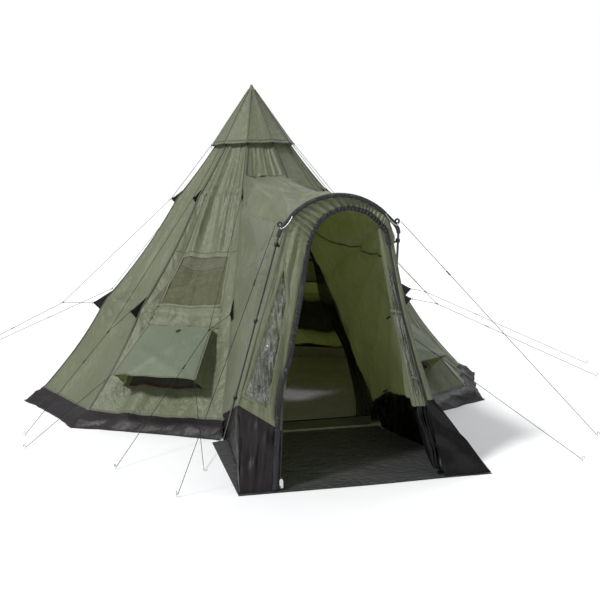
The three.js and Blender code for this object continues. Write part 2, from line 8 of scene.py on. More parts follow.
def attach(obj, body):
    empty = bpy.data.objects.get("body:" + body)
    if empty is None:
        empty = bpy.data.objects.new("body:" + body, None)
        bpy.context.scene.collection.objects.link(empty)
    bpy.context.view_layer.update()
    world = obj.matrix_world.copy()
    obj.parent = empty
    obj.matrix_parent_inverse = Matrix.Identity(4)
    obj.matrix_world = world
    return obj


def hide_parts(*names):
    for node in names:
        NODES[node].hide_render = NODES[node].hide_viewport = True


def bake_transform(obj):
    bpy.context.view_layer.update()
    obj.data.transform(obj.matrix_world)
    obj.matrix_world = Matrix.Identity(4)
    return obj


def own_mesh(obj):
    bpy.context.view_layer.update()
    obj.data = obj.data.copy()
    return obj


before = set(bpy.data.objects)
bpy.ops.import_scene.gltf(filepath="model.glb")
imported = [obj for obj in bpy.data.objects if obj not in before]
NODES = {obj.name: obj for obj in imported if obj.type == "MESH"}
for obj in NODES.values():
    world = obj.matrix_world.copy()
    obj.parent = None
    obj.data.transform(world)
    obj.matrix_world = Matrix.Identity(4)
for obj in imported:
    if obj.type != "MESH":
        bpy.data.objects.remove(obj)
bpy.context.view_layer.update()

UP = Vector((0, 0, 1))
SIDES = (("left", -1), ("right", 1))


# ---------------------------------------------------------------- small tools

def mix(a, b, t):
    return a + (b - a) * t


def smooth(t):
    t = min(max(t, 0.0), 1.0)
    return t * t * (3 - 2 * t)


def ripple(x, y=0.0, seed=0.0):
    """Smooth noise from about -1 to 1."""
    return 1.6 * noise.noise(Vector((x, y, seed)))


def crest(x):
    """A wave from -1 to 1 with narrow tops, as in cloth that is pulled tight."""
    return 1 - 2 * abs(sin(x / 2)) ** 0.75


def polar(azimuth, radius, z, sideways=0.0):
    a = radians(azimuth)
    return Vector((
        radius * sin(a) + sideways * cos(a),
        -radius * cos(a) + sideways * sin(a),
        z,
    ))


def along(points, t):
    """A point on a smooth curve through evenly counted points, for t from 0 to 1."""
    spans = len(points) - 1
    i = min(int(t * spans), spans - 1)
    f = t * spans - i
    p0, p1 = points[max(i - 1, 0)], points[i]
    p2, p3 = points[i + 1], points[min(i + 2, spans)]
    bend, twist = 2 * p0 - 5 * p1 + 4 * p2 - p3, 3 * p1 - p0 - 3 * p2 + p3
    return 0.5 * (2 * p1 + (p2 - p0) * f + bend * f * f + twist * f ** 3)


def finish_piece(obj, look, body="root"):
    """Gives a piece its look in a new material slot, smooth shading, and its body."""
    obj.data.materials.append(LOOKS[look])
    for face in obj.data.polygons:
        face.use_smooth = True
    if body:
        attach(obj, body)
    return obj


def new_object(name, data):
    obj = bpy.data.objects.new(name, data)
    bpy.context.scene.collection.objects.link(obj)
    return obj


def mesh_object(name, verts, faces):
    mesh = bpy.data.meshes.new(name)
    mesh.from_pydata([tuple(v) for v in verts], [], faces)
    mesh.validate()
    return new_object(name, mesh)


def length_of(points):
    return sum((b - a).length for a, b in zip(points, points[1:]))


def grid_of(rows, columns, point):
    """Rows of points: point(t, u), with t from 0 to 1 down the rows and u from 0 to 1 along each."""
    return [[point(r / rows, c / columns) for c in range(columns + 1)] for r in range(rows + 1)]


def full_turn(steps):
    return [2 * pi * k / steps for k in range(steps + 1)]


def cloth_grid(name, grid, look, body="root", keep=None):
    """A sheet through a grid of points, grid[row][column], with its UV map in metres."""
    rows, columns = len(grid), len(grid[0])
    verts = [p for row in grid for p in row]
    faces = []
    for r in range(rows - 1):
        for c in range(columns - 1):
            if keep is None or keep(r, c):
                a = r * columns + c
                faces.append((a, a + 1, a + columns + 1, a + columns))
    obj = mesh_object(name, verts, faces)
    width = length_of(grid[rows // 2])
    height = length_of([row[columns // 2] for row in grid])
    layer = obj.data.uv_layers.new(name="metres")
    for loop in obj.data.loops:
        r, c = divmod(loop.vertex_index, columns)
        layer.data[loop.index].uv = (width * c / (columns - 1), height * r / (rows - 1))
    bm = bmesh.new()
    bm.from_mesh(obj.data)
    loose = [v for v in bm.verts if not v.link_faces]
    bmesh.ops.delete(bm, geom=loose, context="VERTS")
    bm.to_mesh(obj.data)
    bm.free()
    return finish_piece(obj, look, body)


def ribbon(name, points, normals, width, look="seam", body="root", lift=0.002, crown=0.0015,
           ruffle=0.0, pitch=0.03):
    """A strip of tape along points on a surface, with its edges down on it. normals: one, or one a point."""
    if isinstance(normals, Vector):
        normals = [normals] * len(points)
    grid = [[], [], [], [], []]
    last = len(points) - 1
    run = 0.0
    for i, (p, n) in enumerate(zip(points, normals)):
        tangent = (points[min(i + 1, last)] - points[max(i - 1, 0)]).normalized()
        side = tangent.cross(n).normalized()
        if i:
            run += (p - points[i - 1]).length
        wave = ruffle * sin(2 * pi * run / pitch + 0.7 * ripple(run * 9, 0, width))
        for k, (across, up) in enumerate([(-0.5, 0), (-0.4, 0.8), (0, 1), (0.4, 0.8), (0.5, 0)]):
            bend = wave * (1 if k % 4 else 0.4) * (1 if across >= 0 else -1)
            grid[k].append(p + side * (across * width * (1 + 4 * wave)) + n * (lift + crown * up + bend))
    return cloth_grid(name, grid, look, body)


def join(name, pieces):
    """Makes one piece of several that share a material."""
    bm = bmesh.new()
    for piece in pieces:
        bm.from_mesh(piece.data)
    target = pieces[0]
    bm.to_mesh(target.data)
    bm.free()
    for piece in pieces[1:]:
        bpy.data.objects.remove(piece)
    target.name = name
    target.data.name = name
    for face in target.data.polygons:
        face.use_smooth = True
    return target


def tube_mesh(name, points, radius, look, body="root", sides=8):
    """A round tube with closed ends along points. radius may be a list."""
    count = len(points)
    radii = radius if isinstance(radius, list) else [radius] * count
    first = (points[1] - points[0]).normalized()
    normal = first.orthogonal().normalized()
    verts, faces = [], []
    for i, p in enumerate(points):
        tangent = (points[min(i + 1, count - 1)] - points[max(i - 1, 0)]).normalized()
        normal = (normal - tangent * normal.dot(tangent)).normalized()
        other = tangent.cross(normal)
        for k in range(sides):
            a = 2 * pi * k / sides
            verts.append(p + (normal * cos(a) + other * sin(a)) * radii[i])
    for i in range(count - 1):
        for k in range(sides):
            a, b = i * sides + k, i * sides + (k + 1) % sides
            faces.append((a, b, b + sides, a + sides))
    faces.append(tuple(range(sides))[::-1])
    faces.append(tuple(range((count - 1) * sides, count * sides)))
    return finish_piece(mesh_object(name, verts, faces), look, body)


def moulded(name, parts, body="root"):
    """Rounded plastic blocks joined into one piece. Each is (centre, x axis, z axis, size)."""
    pieces = []
    for i, (centre, x_axis, z_axis, size) in enumerate(parts):
        z = z_axis.normalized()
        y = z.cross(x_axis).normalized()
        x = y.cross(z)
        bm = bmesh.new()
        bmesh.ops.create_cube(bm, size=1)
        bmesh.ops.scale(bm, vec=size, verts=bm.verts)
        bmesh.ops.bevel(
            bm, geom=bm.edges[:], offset=min(size) * 0.3, segments=3, profile=0.5, affect="EDGES",
        )
        place = Matrix((x, y, z)).transposed().to_4x4()
        place.translation = centre
        bm.transform(place)
        mesh = bpy.data.meshes.new(f"{name}_{i}")
        bm.to_mesh(mesh)
        bm.free()
        pieces.append(new_object(f"{name}_{i}", mesh))
    return finish_piece(join(name, pieces), "plastic", body)


# ---------------------------------------------------------------- camera

CAMERA_AT = Vector((-2.046, -11.971, 2.268))
CAMERA_YAW, CAMERA_PITCH, CAMERA_ROLL = 12.05, -5.91, -1.31
CAMERA_LENS = 62.7


def make_camera():
    yaw, pitch, roll = (radians(v) for v in (CAMERA_YAW, CAMERA_PITCH, CAMERA_ROLL))
    ahead = Vector((cos(pitch) * sin(yaw), cos(pitch) * cos(yaw), sin(pitch)))
    level = Vector((cos(yaw), -sin(yaw), 0))
    upright = level.cross(ahead)
    right = level * cos(roll) + upright * sin(roll)
    up = upright * cos(roll) - level * sin(roll)
    data = bpy.data.cameras.new("camera")
    data.lens = CAMERA_LENS
    data.sensor_width = 36
    camera = new_object("camera", data)
    camera.matrix_world = Matrix.Translation(CAMERA_AT) @ Matrix((right, up, -ahead)).transposed().to_4x4()
    bpy.context.scene.camera = camera


make_camera()


# ---------------------------------------------------------------- materials

class Shader:
    """Short calls for building a node tree."""

    def __init__(self, name):
        self.look = bpy.data.materials.new(name)
        self.look.use_nodes = True
        self.tree = self.look.node_tree
        self.tree.nodes.clear()
        self.out = self.tree.nodes.new("ShaderNodeOutputMaterial")
        self.coords = self.tree.nodes.new("ShaderNodeTexCoord")

    def node(self, kind, inputs=None, **settings):
        n = self.tree.nodes.new("ShaderNode" + kind)
        for key, value in settings.items():
            setattr(n, key, value)
        for key, value in (inputs or {}).items():
            self.feed(n.inputs[key], value)
        return n

    def feed(self, socket, value):
        if isinstance(value, bpy.types.NodeSocket):
            self.tree.links.new(value, socket)
        else:
            socket.default_value = value

    def stretched(self, scale):
        return self.node("Mapping", {"Vector": self.coords.outputs["Object"], "Scale": scale}).outputs[0]

    def noise(self, scale, detail=3.0, rough=0.5, vector=None):
        vector = vector or self.coords.outputs["Object"]
        n = self.node("TexNoise", {"Vector": vector, "Scale": scale, "Detail": detail, "Roughness": rough})
        return n.outputs["Fac"]

    def ramp(self, fac, stops):
        n = self.node("ValToRGB", {"Fac": fac})
        while len(n.color_ramp.elements) < len(stops):
            n.color_ramp.elements.new(0.5)
        for element, (at, color) in zip(n.color_ramp.elements, stops):
            element.position = at
            element.color = (*color, 1)
        return n.outputs["Color"]

    def math(self, operation, a, b=0.0):
        n = self.node("Math", operation=operation)
        self.feed(n.inputs[0], a)
        self.feed(n.inputs[1], b)
        return n.outputs[0]

    def blend(self, fac, a, b, mode="MIX"):
        n = self.node("Mix", data_type="RGBA", blend_type=mode)
        self.feed(n.inputs[0], fac)
        self.feed(n.inputs[6], a)
        self.feed(n.inputs[7], b)
        return n.outputs[2]

    def bump(self, height, distance, strength=1.0, under=None):
        n = self.node("Bump", {"Height": height, "Distance": distance, "Strength": strength})
        if under is not None:
            self.feed(n.inputs["Normal"], under)
        return n.outputs[0]

    def span(self, value, low, high):
        return self.node("MapRange", {"Value": value, "To Min": low, "To Max": high}).outputs[0]

    def mixed(self, share, a, b):
        both = self.node("MixShader", {"Fac": share, 1: a.outputs[0], 2: b.outputs[0]})
        return self.finish(both.outputs[0])

    def finish(self, surface):
        self.feed(self.out.inputs["Surface"], surface)
        return self.look


def tinted(color, factor):
    return tuple(min(c * factor, 1) for c in color)


def weave_height(s, per_metre):
    """Over and under threads, along both directions of the cloth."""
    uv = s.coords.outputs["UV"]
    waves = []
    for direction in ("X", "Y"):
        n = s.node("TexWave", {"Vector": uv, "Scale": per_metre / 6.283}, bands_direction=direction)
        waves.append(n.outputs["Fac"])
    return s.math("MULTIPLY", waves[0], waves[1])


OLIVE = (0.186, 0.206, 0.124)
OLIVE_GLOW = (1.0, 1.05, 0.38)
BLACK, WHITE = (0, 0, 0), (1, 1, 1)


def cloth_look(name, color, rough, glow=0.0, glow_color=OLIVE_GLOW, crinkle=0.35, cloud=0.14, sheen=0.2,
               threads=700, dust=0.0, painted_fold_shade=0.06, gloss=0.5):
    """Woven cloth: threads, small crinkles, patchy colour, painted fold shade along long streaks, and light
    that comes through it.
    """
    s = Shader(name)
    patches = s.noise(1.7, 4, 0.55)
    base = s.ramp(patches, [(0.3, tinted(color, 1 - cloud)), (0.7, tinted(color, 1 + cloud))])
    streaks = s.noise(1.0, 3, 0.6, s.stretched((26, 26, 3.5)))
    # painted fold shade: the colour is darkened along long, mostly upright streaks, where folds would lie in
    # shade
    base = s.blend(s.math("MULTIPLY", streaks, 2 * painted_fold_shade), base, (*tinted(color, 0.55), 1))
    threads_h = weave_height(s, threads)
    base = s.blend(s.math("MULTIPLY", threads_h, 0.12), base, (*tinted(color, 1.5), 1))
    if dust:
        grey = s.ramp(s.noise(9, 6, 0.7), [(0.52, BLACK), (0.75, WHITE)])
        base = s.blend(s.math("MULTIPLY", grey, dust), base, (0.16, 0.15, 0.14, 1))
    soft_creases = s.noise(5.0, 2, 0.5, s.stretched((1.5, 1.5, 0.7)))
    creases = s.math("ABSOLUTE", s.math("SUBTRACT", soft_creases, 0.5))
    small = s.noise(30, 2, 0.5)
    normal = s.bump(streaks, 0.018, crinkle)
    normal = s.bump(creases, 0.06, crinkle, normal)
    normal = s.bump(small, 0.002, crinkle, normal)
    normal = s.bump(threads_h, 0.0004, 0.35, normal)
    roughness = s.span(patches, rough - 0.07, rough + 0.09)
    body = s.node("BsdfPrincipled", {
        "Base Color": base, "Roughness": roughness, "Normal": normal,
        "Sheen Weight": sheen, "Sheen Roughness": 0.45, "Specular IOR Level": gloss,
    })
    if not glow:
        return s.finish(body.outputs[0])
    through = s.node("BsdfTranslucent", {"Normal": normal})
    tint = s.blend(1.0, base, (*glow_color, 1), "MULTIPLY")
    s.feed(through.inputs["Color"], tint)
    return s.mixed(glow, body, through)


def screen_look(name, color, open_share):
    """Fine mesh: partly see-through, with a visible grid of threads."""
    s = Shader(name)
    holes = weave_height(s, 400)
    folds = s.noise(20, 4, 0.6)
    base = s.ramp(folds, [(0.3, tinted(color, 0.9)), (0.75, tinted(color, 1.35))])
    normal = s.bump(folds, 0.01, 0.4)
    body = s.node("BsdfPrincipled", {"Base Color": base, "Normal": normal, "Roughness": 0.8})
    clear = s.node("BsdfTransparent")
    share = s.span(holes, open_share - 0.12, open_share + 0.3)
    return s.mixed(share, body, clear)


def film_look(name):
    """Clear window film, creased and silvery where it catches the light."""
    s = Shader(name)
    creases = s.noise(1.0, 5, 0.6, s.stretched((34, 34, 3.5)))
    ridges = s.ramp(creases, [(0.42, BLACK), (0.5, WHITE), (0.58, BLACK)])
    haze = s.ramp(s.noise(7, 4), [(0.35, (0.13, 0.14, 0.11)), (0.7, (0.30, 0.31, 0.28))])
    normal = s.bump(creases, 0.03, 0.9)
    body = s.node("BsdfPrincipled", {
        "Base Color": haze, "Normal": normal, "Roughness": 0.24, "Coat Weight": 0.6, "Coat Roughness": 0.08,
    })
    clear = s.node("BsdfTransparent")
    share = s.span(ridges, 0.55, 0.18)
    return s.mixed(share, body, clear)


def hard_look(name, color, rough, metallic=0.0, coat=0.0, grain=60.0, wear=0.25, wear_color=None):
    """Metal or plastic with fine grain, patchy gloss and rubbed edges."""
    s = Shader(name)
    fine = s.noise(grain * 6, 4, 0.6)
    broad = s.noise(grain * 0.25, 5, 0.6)
    pointed = s.node("NewGeometry").outputs["Pointiness"]
    edge = s.ramp(pointed, [(0.52, BLACK), (0.62, WHITE)])
    rubbed = s.math("MULTIPLY", s.math("MULTIPLY", edge, broad), 2 * wear)
    base = s.ramp(broad, [(0.3, tinted(color, 0.8)), (0.72, tinted(color, 1.2))])
    base = s.blend(rubbed, base, (*(wear_color or tinted(color, 2.4)), 1))
    roughness = s.span(fine, rough - 0.08, rough + 0.12)
    body = s.node("BsdfPrincipled", {
        "Base Color": base, "Roughness": roughness, "Normal": s.bump(fine, 0.0006, 0.4),
        "Metallic": metallic, "Coat Weight": coat,
    })
    return s.finish(body.outputs[0])


def braid_look(name, color):
    """A braided cord: slanting strands."""
    s = Shader(name)
    strands = s.node("TexWave", {
        "Vector": s.stretched((1, 1, 1)), "Scale": 60.0, "Distortion": 2.0, "Detail": 2.0,
    }, bands_direction="DIAGONAL").outputs["Fac"]
    base = s.ramp(strands, [(0.2, tinted(color, 0.6)), (0.8, tinted(color, 1.6))])
    normal = s.bump(strands, 0.001, 0.6)
    body = s.node("BsdfPrincipled", {"Base Color": base, "Normal": normal, "Roughness": 0.85})
    return s.finish(body.outputs[0])


LOOKS = {
    # the streak share of each cloth look below is painted fold shade
    "canvas": cloth_look("canvas_olive", OLIVE, 0.46, 0.28, crinkle=0.45, painted_fold_shade=0.10, cloud=0.10),
    # the porch's own copy of the olive canvas, a little lighter, with the strongest painted fold shade, which
    # also stands in for shade between folds on the inside
    "porch": cloth_look("canvas_porch", tinted(OLIVE, 1.08), 0.46, 0.28, crinkle=0.6, painted_fold_shade=0.26,
                        cloud=0.18),
    "cap": cloth_look("canvas_cap", tinted(OLIVE, 0.82), 0.5, 0.20),
    "hood": cloth_look("canvas_hood", (0.158, 0.188, 0.124), 0.5, 0.22, crinkle=0.22, painted_fold_shade=0.03),
    "seam": cloth_look("seam_tape", tinted(OLIVE, 0.50), 0.66, crinkle=0.2, threads=900),
    "hem": cloth_look("dark_hem", (0.04, 0.045, 0.026), 0.7, crinkle=0.2, threads=900),
    "skirting": cloth_look("black_skirting", (0.0115, 0.0085, 0.0095), 0.46, crinkle=0.3, cloud=0.3,
                           sheen=0.0, threads=500, gloss=0.36),
    # a darker, glossier copy of the black skirting: painted shade for the black cloth right of the doorway,
    # which faces away from the key light
    "skirting_painted_shade": cloth_look("skirting_painted_shade", (0.0050, 0.0042, 0.0046), 0.34, crinkle=0.5, cloud=0.3,
                                sheen=0.0, threads=500, gloss=0.22),
    "floor": cloth_look("groundsheet_grey", (0.46, 0.42, 0.50), 0.5, crinkle=0.6, threads=420, dust=0.1),
    "porch_floor": cloth_look("groundsheet_black", (0.02, 0.021, 0.023), 0.38, crinkle=0.6, threads=420,
                              dust=0.08),
    "webbing": cloth_look("black_webbing", (0.008, 0.0075, 0.009), 0.75, crinkle=0.2, sheen=0.05,
                          threads=1400),
    "binding": cloth_look("gathered_binding", (0.013, 0.011, 0.015), 0.55, crinkle=0.9, sheen=0.08,
                          threads=900),
    "cover": cloth_look("grey_cover", (0.60, 0.60, 0.56), 0.55, 0.45, (0.95, 1.0, 0.7), crinkle=0.5),
    "red": cloth_look("red_binding", (0.045, 0.016, 0.012), 0.7, crinkle=0.3, sheen=0.05),
    "screen": screen_look("insect_mesh", (0.018, 0.016, 0.014), 0.30),
    "window": screen_look("window_mesh", (0.12, 0.12, 0.075), 0.42),
    "vent": screen_look("vent_mesh", (0.046, 0.047, 0.034), -0.25),
    "film": film_look("window_film"),
    "steel": hard_look("zinc_steel", (0.58, 0.59, 0.6), 0.34, 1.0, grain=90, wear=0.1),
    "arch": hard_look("black_tube", (0.02, 0.02, 0.022), 0.45, 0.2, 0.2),
    "green": hard_look("green_tube", (0.007, 0.035, 0.026), 0.34, 0.3, 0.5, wear_color=(0.2, 0.22, 0.2)),
    "plastic": hard_look("black_plastic", (0.014, 0.014, 0.015), 0.46, grain=120, wear=0.35),
    "white": hard_look("white_plastic", (0.8, 0.8, 0.77), 0.4, coat=0.2, wear=0.15,
                       wear_color=(0.6, 0.58, 0.5)),
    "cord": braid_look("braided_cord", (0.012, 0.0125, 0.012)),
}


# ---------------------------------------------------------------- tent dimensions, as in the CAD source

FACES = [36 * i for i in range(10)]
FRONT_LAST = FACES[1:] + [360]
RIDGE_APEX, RIDGE_SLOPE = 3.413, 0.7546
WALL_TOP, WALL_FOOT, PORCH_SEAM = 3.0, 0.14, 2.45
CAP_TIP, CAP_HEM, CAP_RADIUS = 3.5, 2.83, 0.470
# guy-out patches: top and foot on the ridge, then the tip's radius and height
UPPER_PATCH = (2.30, 2.195, 0.955, 2.22)
LOWER_PATCH = (1.185, 1.015, 1.880, 1.075)
ARCH_Y, ARCH_CENTRE_Z, ARCH_RADIUS, ARCH_HALF = -3.93, 1.692, 0.543, 46
HOOD_AZIMUTHS = {"front_left": -36, "front_right": 36, "rear_left": -144, "rear_right": 144}
HOOD_HINGE, HOOD_LENGTH, HOOD_TOP, HOOD_FOOT = 0.93, 0.691, 0.38, 0.475
HOOD_OPEN, HOOD_OFF = radians(17), 0.008
FACE_COS, HALF_FACE_SIN = cos(radians(18)), sin(radians(18))
FACE_SLOPE = FACE_COS * RIDGE_SLOPE
FACE_LENGTH = hypot(1, FACE_SLOPE)


def ridge_radius(z):
    return RIDGE_SLOPE * (RIDGE_APEX - z)


def half_width(z):
    """Half the width of a face."""
    return ridge_radius(z) * HALF_FACE_SIN


def ten_sided(azimuth):
    """Where an azimuth lies across its face, from -1 to 1, and how far out the face is there."""
    within = ((azimuth - 18) % 36) / 18 - 1
    return within, FACE_COS / cos(radians(18 * within))


def face_axes(azimuth):
    """Along the face, down its slope, and out of it."""
    out = polar(azimuth, 1, 0)
    return (
        polar(azimuth, 0, 0, 1),
        (out * FACE_SLOPE - UP) / FACE_LENGTH,
        (out + UP * FACE_SLOPE) / FACE_LENGTH,
    )


# The area of a cloth's flat cut comes from the tent's dimensions and edge lines, and never from its mesh.
# Typed in: the gussets' slack, the door pane's size, the clear pane's width, and the flat sizes of
# the foot bands, the porch floor and the threshold.

def face_cut(low, high):
    """The flat area of one face of the pyramid between two heights."""
    return (half_width(low) + half_width(high)) * (high - low) * FACE_LENGTH


def polygon_cut(corners):
    """The flat area inside a loop of corner points that lie nearly in a plane."""
    total = Vector((0, 0, 0))
    for a, b in zip(corners, corners[1:] + corners[:1]):
        total += (a - corners[0]).cross(b - corners[0])
    return total.length / 2


# ---------------------------------------------------------------- guy lines

LINE = 0.005
BEND = 0.06
# each line: its ridge's azimuth, the knot where it branches, its stake, and its height at the stake
RIDGE_LINES = {
    "left_rear": (-126, (-1.630, 1.070, 1.133), "left", 0.030),
    "left": (-90, (-2.216, 0.340, 1.062), "left", 0.018),
    "left_front": (-54, (-1.762, -1.250, 0.894), "left_front", 0.018),
    "front_left": (-18, (-0.826, -2.028, 0.965), "front_left", 0.018),
    "front_right": (18, (0.845, -2.163, 1.059), "front_right", 0.018),
    "right_front": (54, (1.851, -1.000, 0.996), "right_front", 0.018),
    "right": (90, (2.066, 0.013, 1.032), "right", 0.018),
}
STAKES = {
    "left": (-4.200, 1.500), "left_front": (-2.597, -1.796), "front_left": (-1.797, -3.290),
    "front_right": (1.970, -4.190), "right_front": (3.932, -0.740), "right": (4.248, 0.128),
    "porch_left": (-1.381, -4.251), "porch_right": (2.503, -3.437),
    "hood_outer": (-2.570, -2.336), "hood_inner": (-1.093, -3.557),
}
STAKE_CLEARANCE = 0.0075


def near_stake(stake, source, z=0.018):
    end = Vector((*STAKES[stake], z))
    back = Vector((source[0] - end.x, source[1] - end.y, 0)).normalized()
    return end + back * STAKE_CLEARANCE


def taut(corners):
    """Straight between corners, with a short bend at each."""
    points = [corners[0]]
    for before, here, after in zip(corners, corners[1:], corners[2:]):
        start = here + (before - here).normalized() * BEND
        end = here + (after - here).normalized() * BEND
        points += [along([start, here, end], t) for t in (0.0, 0.25, 0.5, 0.75, 1.0)]
    points.append(corners[-1])
    full = [points[0]]
    for a, b in zip(points, points[1:]):
        steps = max(1, ceil((b - a).length / 0.35))
        full += [a.lerp(b, k / steps) for k in range(1, steps + 1)]
    return full


def cord_curve(name, points):
    curve = bpy.data.curves.new(name, "CURVE")
    curve.dimensions = "3D"
    curve.bevel_depth = LINE / 2
    curve.bevel_resolution = 3
    curve.use_fill_caps = True
    spline = curve.splines.new("POLY")
    spline.points.add(len(points) - 1)
    for target, p in zip(spline.points, points):
        target.co = (*p, 1)
    curve.materials.append(LOOKS["cord"])
    obj = new_object(name, curve)
    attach(obj, "root")
    return obj


def tensioner(name, at, direction):
    """The flat plastic runner that shortens a line."""
    side = direction.cross(UP).normalized()
    return moulded(name, [
        (at, direction, side.cross(direction), (0.045, 0.013, 0.007)),
        (at + direction * 0.018, direction, side.cross(direction), (0.010, 0.022, 0.009)),
        (at - direction * 0.018, direction, side.cross(direction), (0.010, 0.018, 0.009)),
    ])


def knot(name, at, direction):
    """A small hitch where the branch is tied to its line."""
    across = direction.orthogonal().normalized()
    other = direction.cross(across).normalized()
    turns = [
        at + (across * cos(a) + other * sin(a)) * 0.006 + direction * (0.004 * a / pi - 0.01)
        for a in [i * pi / 6 for i in range(31)]
    ]
    return tube_mesh(name, turns, 0.0024, "cord")


def declare_cord(line, points, **more):
    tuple(points[0])
    round(length_of(points), 3)


def make_lines():
    for name, (ridge, knot_at, stake, loop_z) in RIDGE_LINES.items():
        joint = Vector(knot_at)
        start = polar(ridge, CAP_RADIUS + 0.007, CAP_HEM - 0.005)
        end = near_stake(stake, joint, loop_z)
        points = taut([start, polar(ridge, UPPER_PATCH[2] + 0.007, UPPER_PATCH[3] + 0.003), joint, end])
        line = cord_curve(f"line_{name}", points)
        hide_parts(f"guy_line_{name}")
        down = (end - joint).normalized()
        slider = tensioner(f"line_{name}_tensioner", joint.lerp(end, 0.3), down)
        hitch = knot(f"line_{name}_hitch", joint, down)
        declare_cord(line, points, with_pieces=[slider, hitch])
        low = polar(ridge, LOWER_PATCH[2] + 0.005, LOWER_PATCH[3])
        branch_points = [low.lerp(joint, t) for t in (0, 0.33, 0.66, 1)]
        declare_cord(cord_curve(f"line_{name}_branch", branch_points), branch_points)
    for name, side in SIDES:
        start = Vector((side * 0.514, ARCH_Y, 2.012))
        points = taut([start, near_stake(f"porch_{name}", start)])
        line = cord_curve(f"line_porch_{name}", points)
        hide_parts(f"guy_line_porch_{name}")
        slider = tensioner(f"line_porch_{name}_tensioner", start.lerp(points[-1], 0.22),
                           (points[-1] - start).normalized())
        declare_cord(line, points, with_pieces=[slider])


def on_hood(azimuth, sideways, distance, lift=0.0):
    """A point on the open vent hood: along its hinge, down the flap, and off its face."""
    side, down, normal = face_axes(azimuth)
    flap = down * cos(HOOD_OPEN) + normal * sin(HOOD_OPEN)
    face = -side.cross(flap)
    hinge = polar(azimuth, FACE_SLOPE * (RIDGE_APEX - HOOD_HINGE), HOOD_HINGE) + normal * HOOD_OFF
    return hinge + side * sideways + flap * distance + face * lift


def make_hood_lines():
    for name, side in (("outer", -1), ("inner", 1)):
        start = on_hood(-36, side * (HOOD_FOOT - 0.006), HOOD_LENGTH + 0.006, 0.002)
        end = near_stake(f"hood_{name}", start)
        points = [start.lerp(end, i / 16) for i in range(17)]
        line = tube_mesh(f"line_hood_{name}", points, LINE / 2, "cord", body=None)
        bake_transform(line)
        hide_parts(f"guy_line_hood_{name}")
        declare_cord(line, points, path=[list(p) for p in points])


make_lines()
make_hood_lines()


# ---------------------------------------------------------------- pyramid canvas

VENT_TOP, VENT_FOOT, VENT_LAP = 0.86, 0.405, 0.02


def vent_half(z):
    """Half the width of the mesh vent under a hood."""
    return mix(HOOD_TOP, HOOD_FOOT, (HOOD_HINGE - z) / 0.56) - 0.03


ANCHORS = (3.0, 2.24, 1.10, 0.14)
# folds out of the lower and upper patches and the foot: height, count, reach, depth, turn of the noise
CORNER_PULLS = ((1.08, 11, 0.42, 0.040, 0), (2.24, 8, 0.24, 0.018, 3), (0.12, 11, 0.36, 0.015, 7))
WINDOW_S = 10 / 14
WINDOW_TOP, WINDOW_FOOT = 1.64, 1.155
WINDOW_FACES = (36, 324, 144, 216)
COVER_S, COVER_FOLDS, COVER_DEPTH = 0.66, 8, 0.036


def radial_folds(x, y, count, reach, depth, seed, wander=1.4):
    """Folds that run out of a pulled corner at x = y = 0."""
    far = hypot(x, y)
    if far < 1e-6:
        return 0.0
    angle = atan2(y, x)
    wave = crest(count * angle + wander * ripple(far * 1.2, angle * 1.5, seed))
    wave *= 0.75 + 0.5 * ripple(angle * 2.5, far * 0.8, seed + 50)
    return depth * wave * exp(-far / reach) * smooth(far / min(0.35 * reach, 0.25))


def ridge_pull(z):
    """How far a ridge hangs in between the points that hold it out."""
    for high, low in zip(ANCHORS, ANCHORS[1:]):
        if z >= low:
            return 0.048 * sin(pi * (z - low) / (high - low)) * (0.45 if low > 2 else 1)
    return 0.0


def canvas_relief(azimuth, s, z):
    """How far the cloth of a face stands off its flat plane."""
    seed = azimuth * 0.37 + 3.1
    half = half_width(z)
    inside = 1 - abs(s) ** 5
    belly = -0.055 * (1 - s * s) * smooth((3.2 - z) / 2.2) * smooth((z + 0.35) / 0.9)
    upper_part = smooth((z - 0.9) / 1.2)
    long_folds = 0.070 * half * ripple(s * 3.4 + 1.2 * ripple(z * 0.7, 0, seed), z * 0.28, seed)
    gathered = crest(s * 13 + 3.5 * ripple(s * 2, z * 0.5, seed + 5))
    long_folds += 0.030 * half * gathered * upper_part * (0.8 + 0.5 * ripple(s * 3, z * 0.8, seed + 6))
    long_folds += 0.030 * half * ripple(s * 8.0 + ripple(z, 1, seed), z * 0.35, seed + 5) * upper_part
    pulls = 0.0
    for k, x in enumerate(((s + 1) * half, (1 - s) * half)):
        for corner_z, count, reach, depth, turn in CORNER_PULLS:
            pulls += radial_folds(x, (z - corner_z) * FACE_LENGTH, count, reach, depth, seed + turn + k)
    sagging = 0.016 * ripple(s * 2.2 - z * 3.0, z * 2.4, seed + 9) * smooth((1.5 - z) / 1.0)
    if has_window(azimuth):
        # short level pleats beside the vent hood, where its gusset pulls on the wall
        beside = smooth((abs(s) - 0.60) / 0.12) * smooth((1.0 - z) / 0.15) * smooth((z - 0.16) / 0.15)
        level = z * 15 + 1.6 * ripple(s * 3, z * 2, seed + 11)
        sagging += 0.011 * beside * sin(2 * pi * level) * (0.6 + 0.4 * ripple(z * 5, s * 4, seed + 12))
        flat_cloth = smooth((0.70 - abs(s)) / 0.1) * smooth((z - 0.90) / 0.1) * smooth((1.75 - z) / 0.15)
        long_folds *= 1 - 0.7 * flat_cloth
        pulls *= 1 - 0.5 * flat_cloth
    return inside * (belly + long_folds + pulls + sagging)


def on_canvas(azimuth, s, z, lift=0.0):
    """A point on a face of the pyramid: s from -1 to 1 across it, z up it."""
    radius = ridge_radius(z) - ridge_pull(z)
    left, right = polar(azimuth - 18, radius, z), polar(azimuth + 18, radius, z)
    normal = face_axes(azimuth)[2]
    return left.lerp(right, (s + 1) / 2) + normal * (canvas_relief(azimuth, s, z) + lift)


def has_window(azimuth):
    return azimuth % 360 in WINDOW_FACES


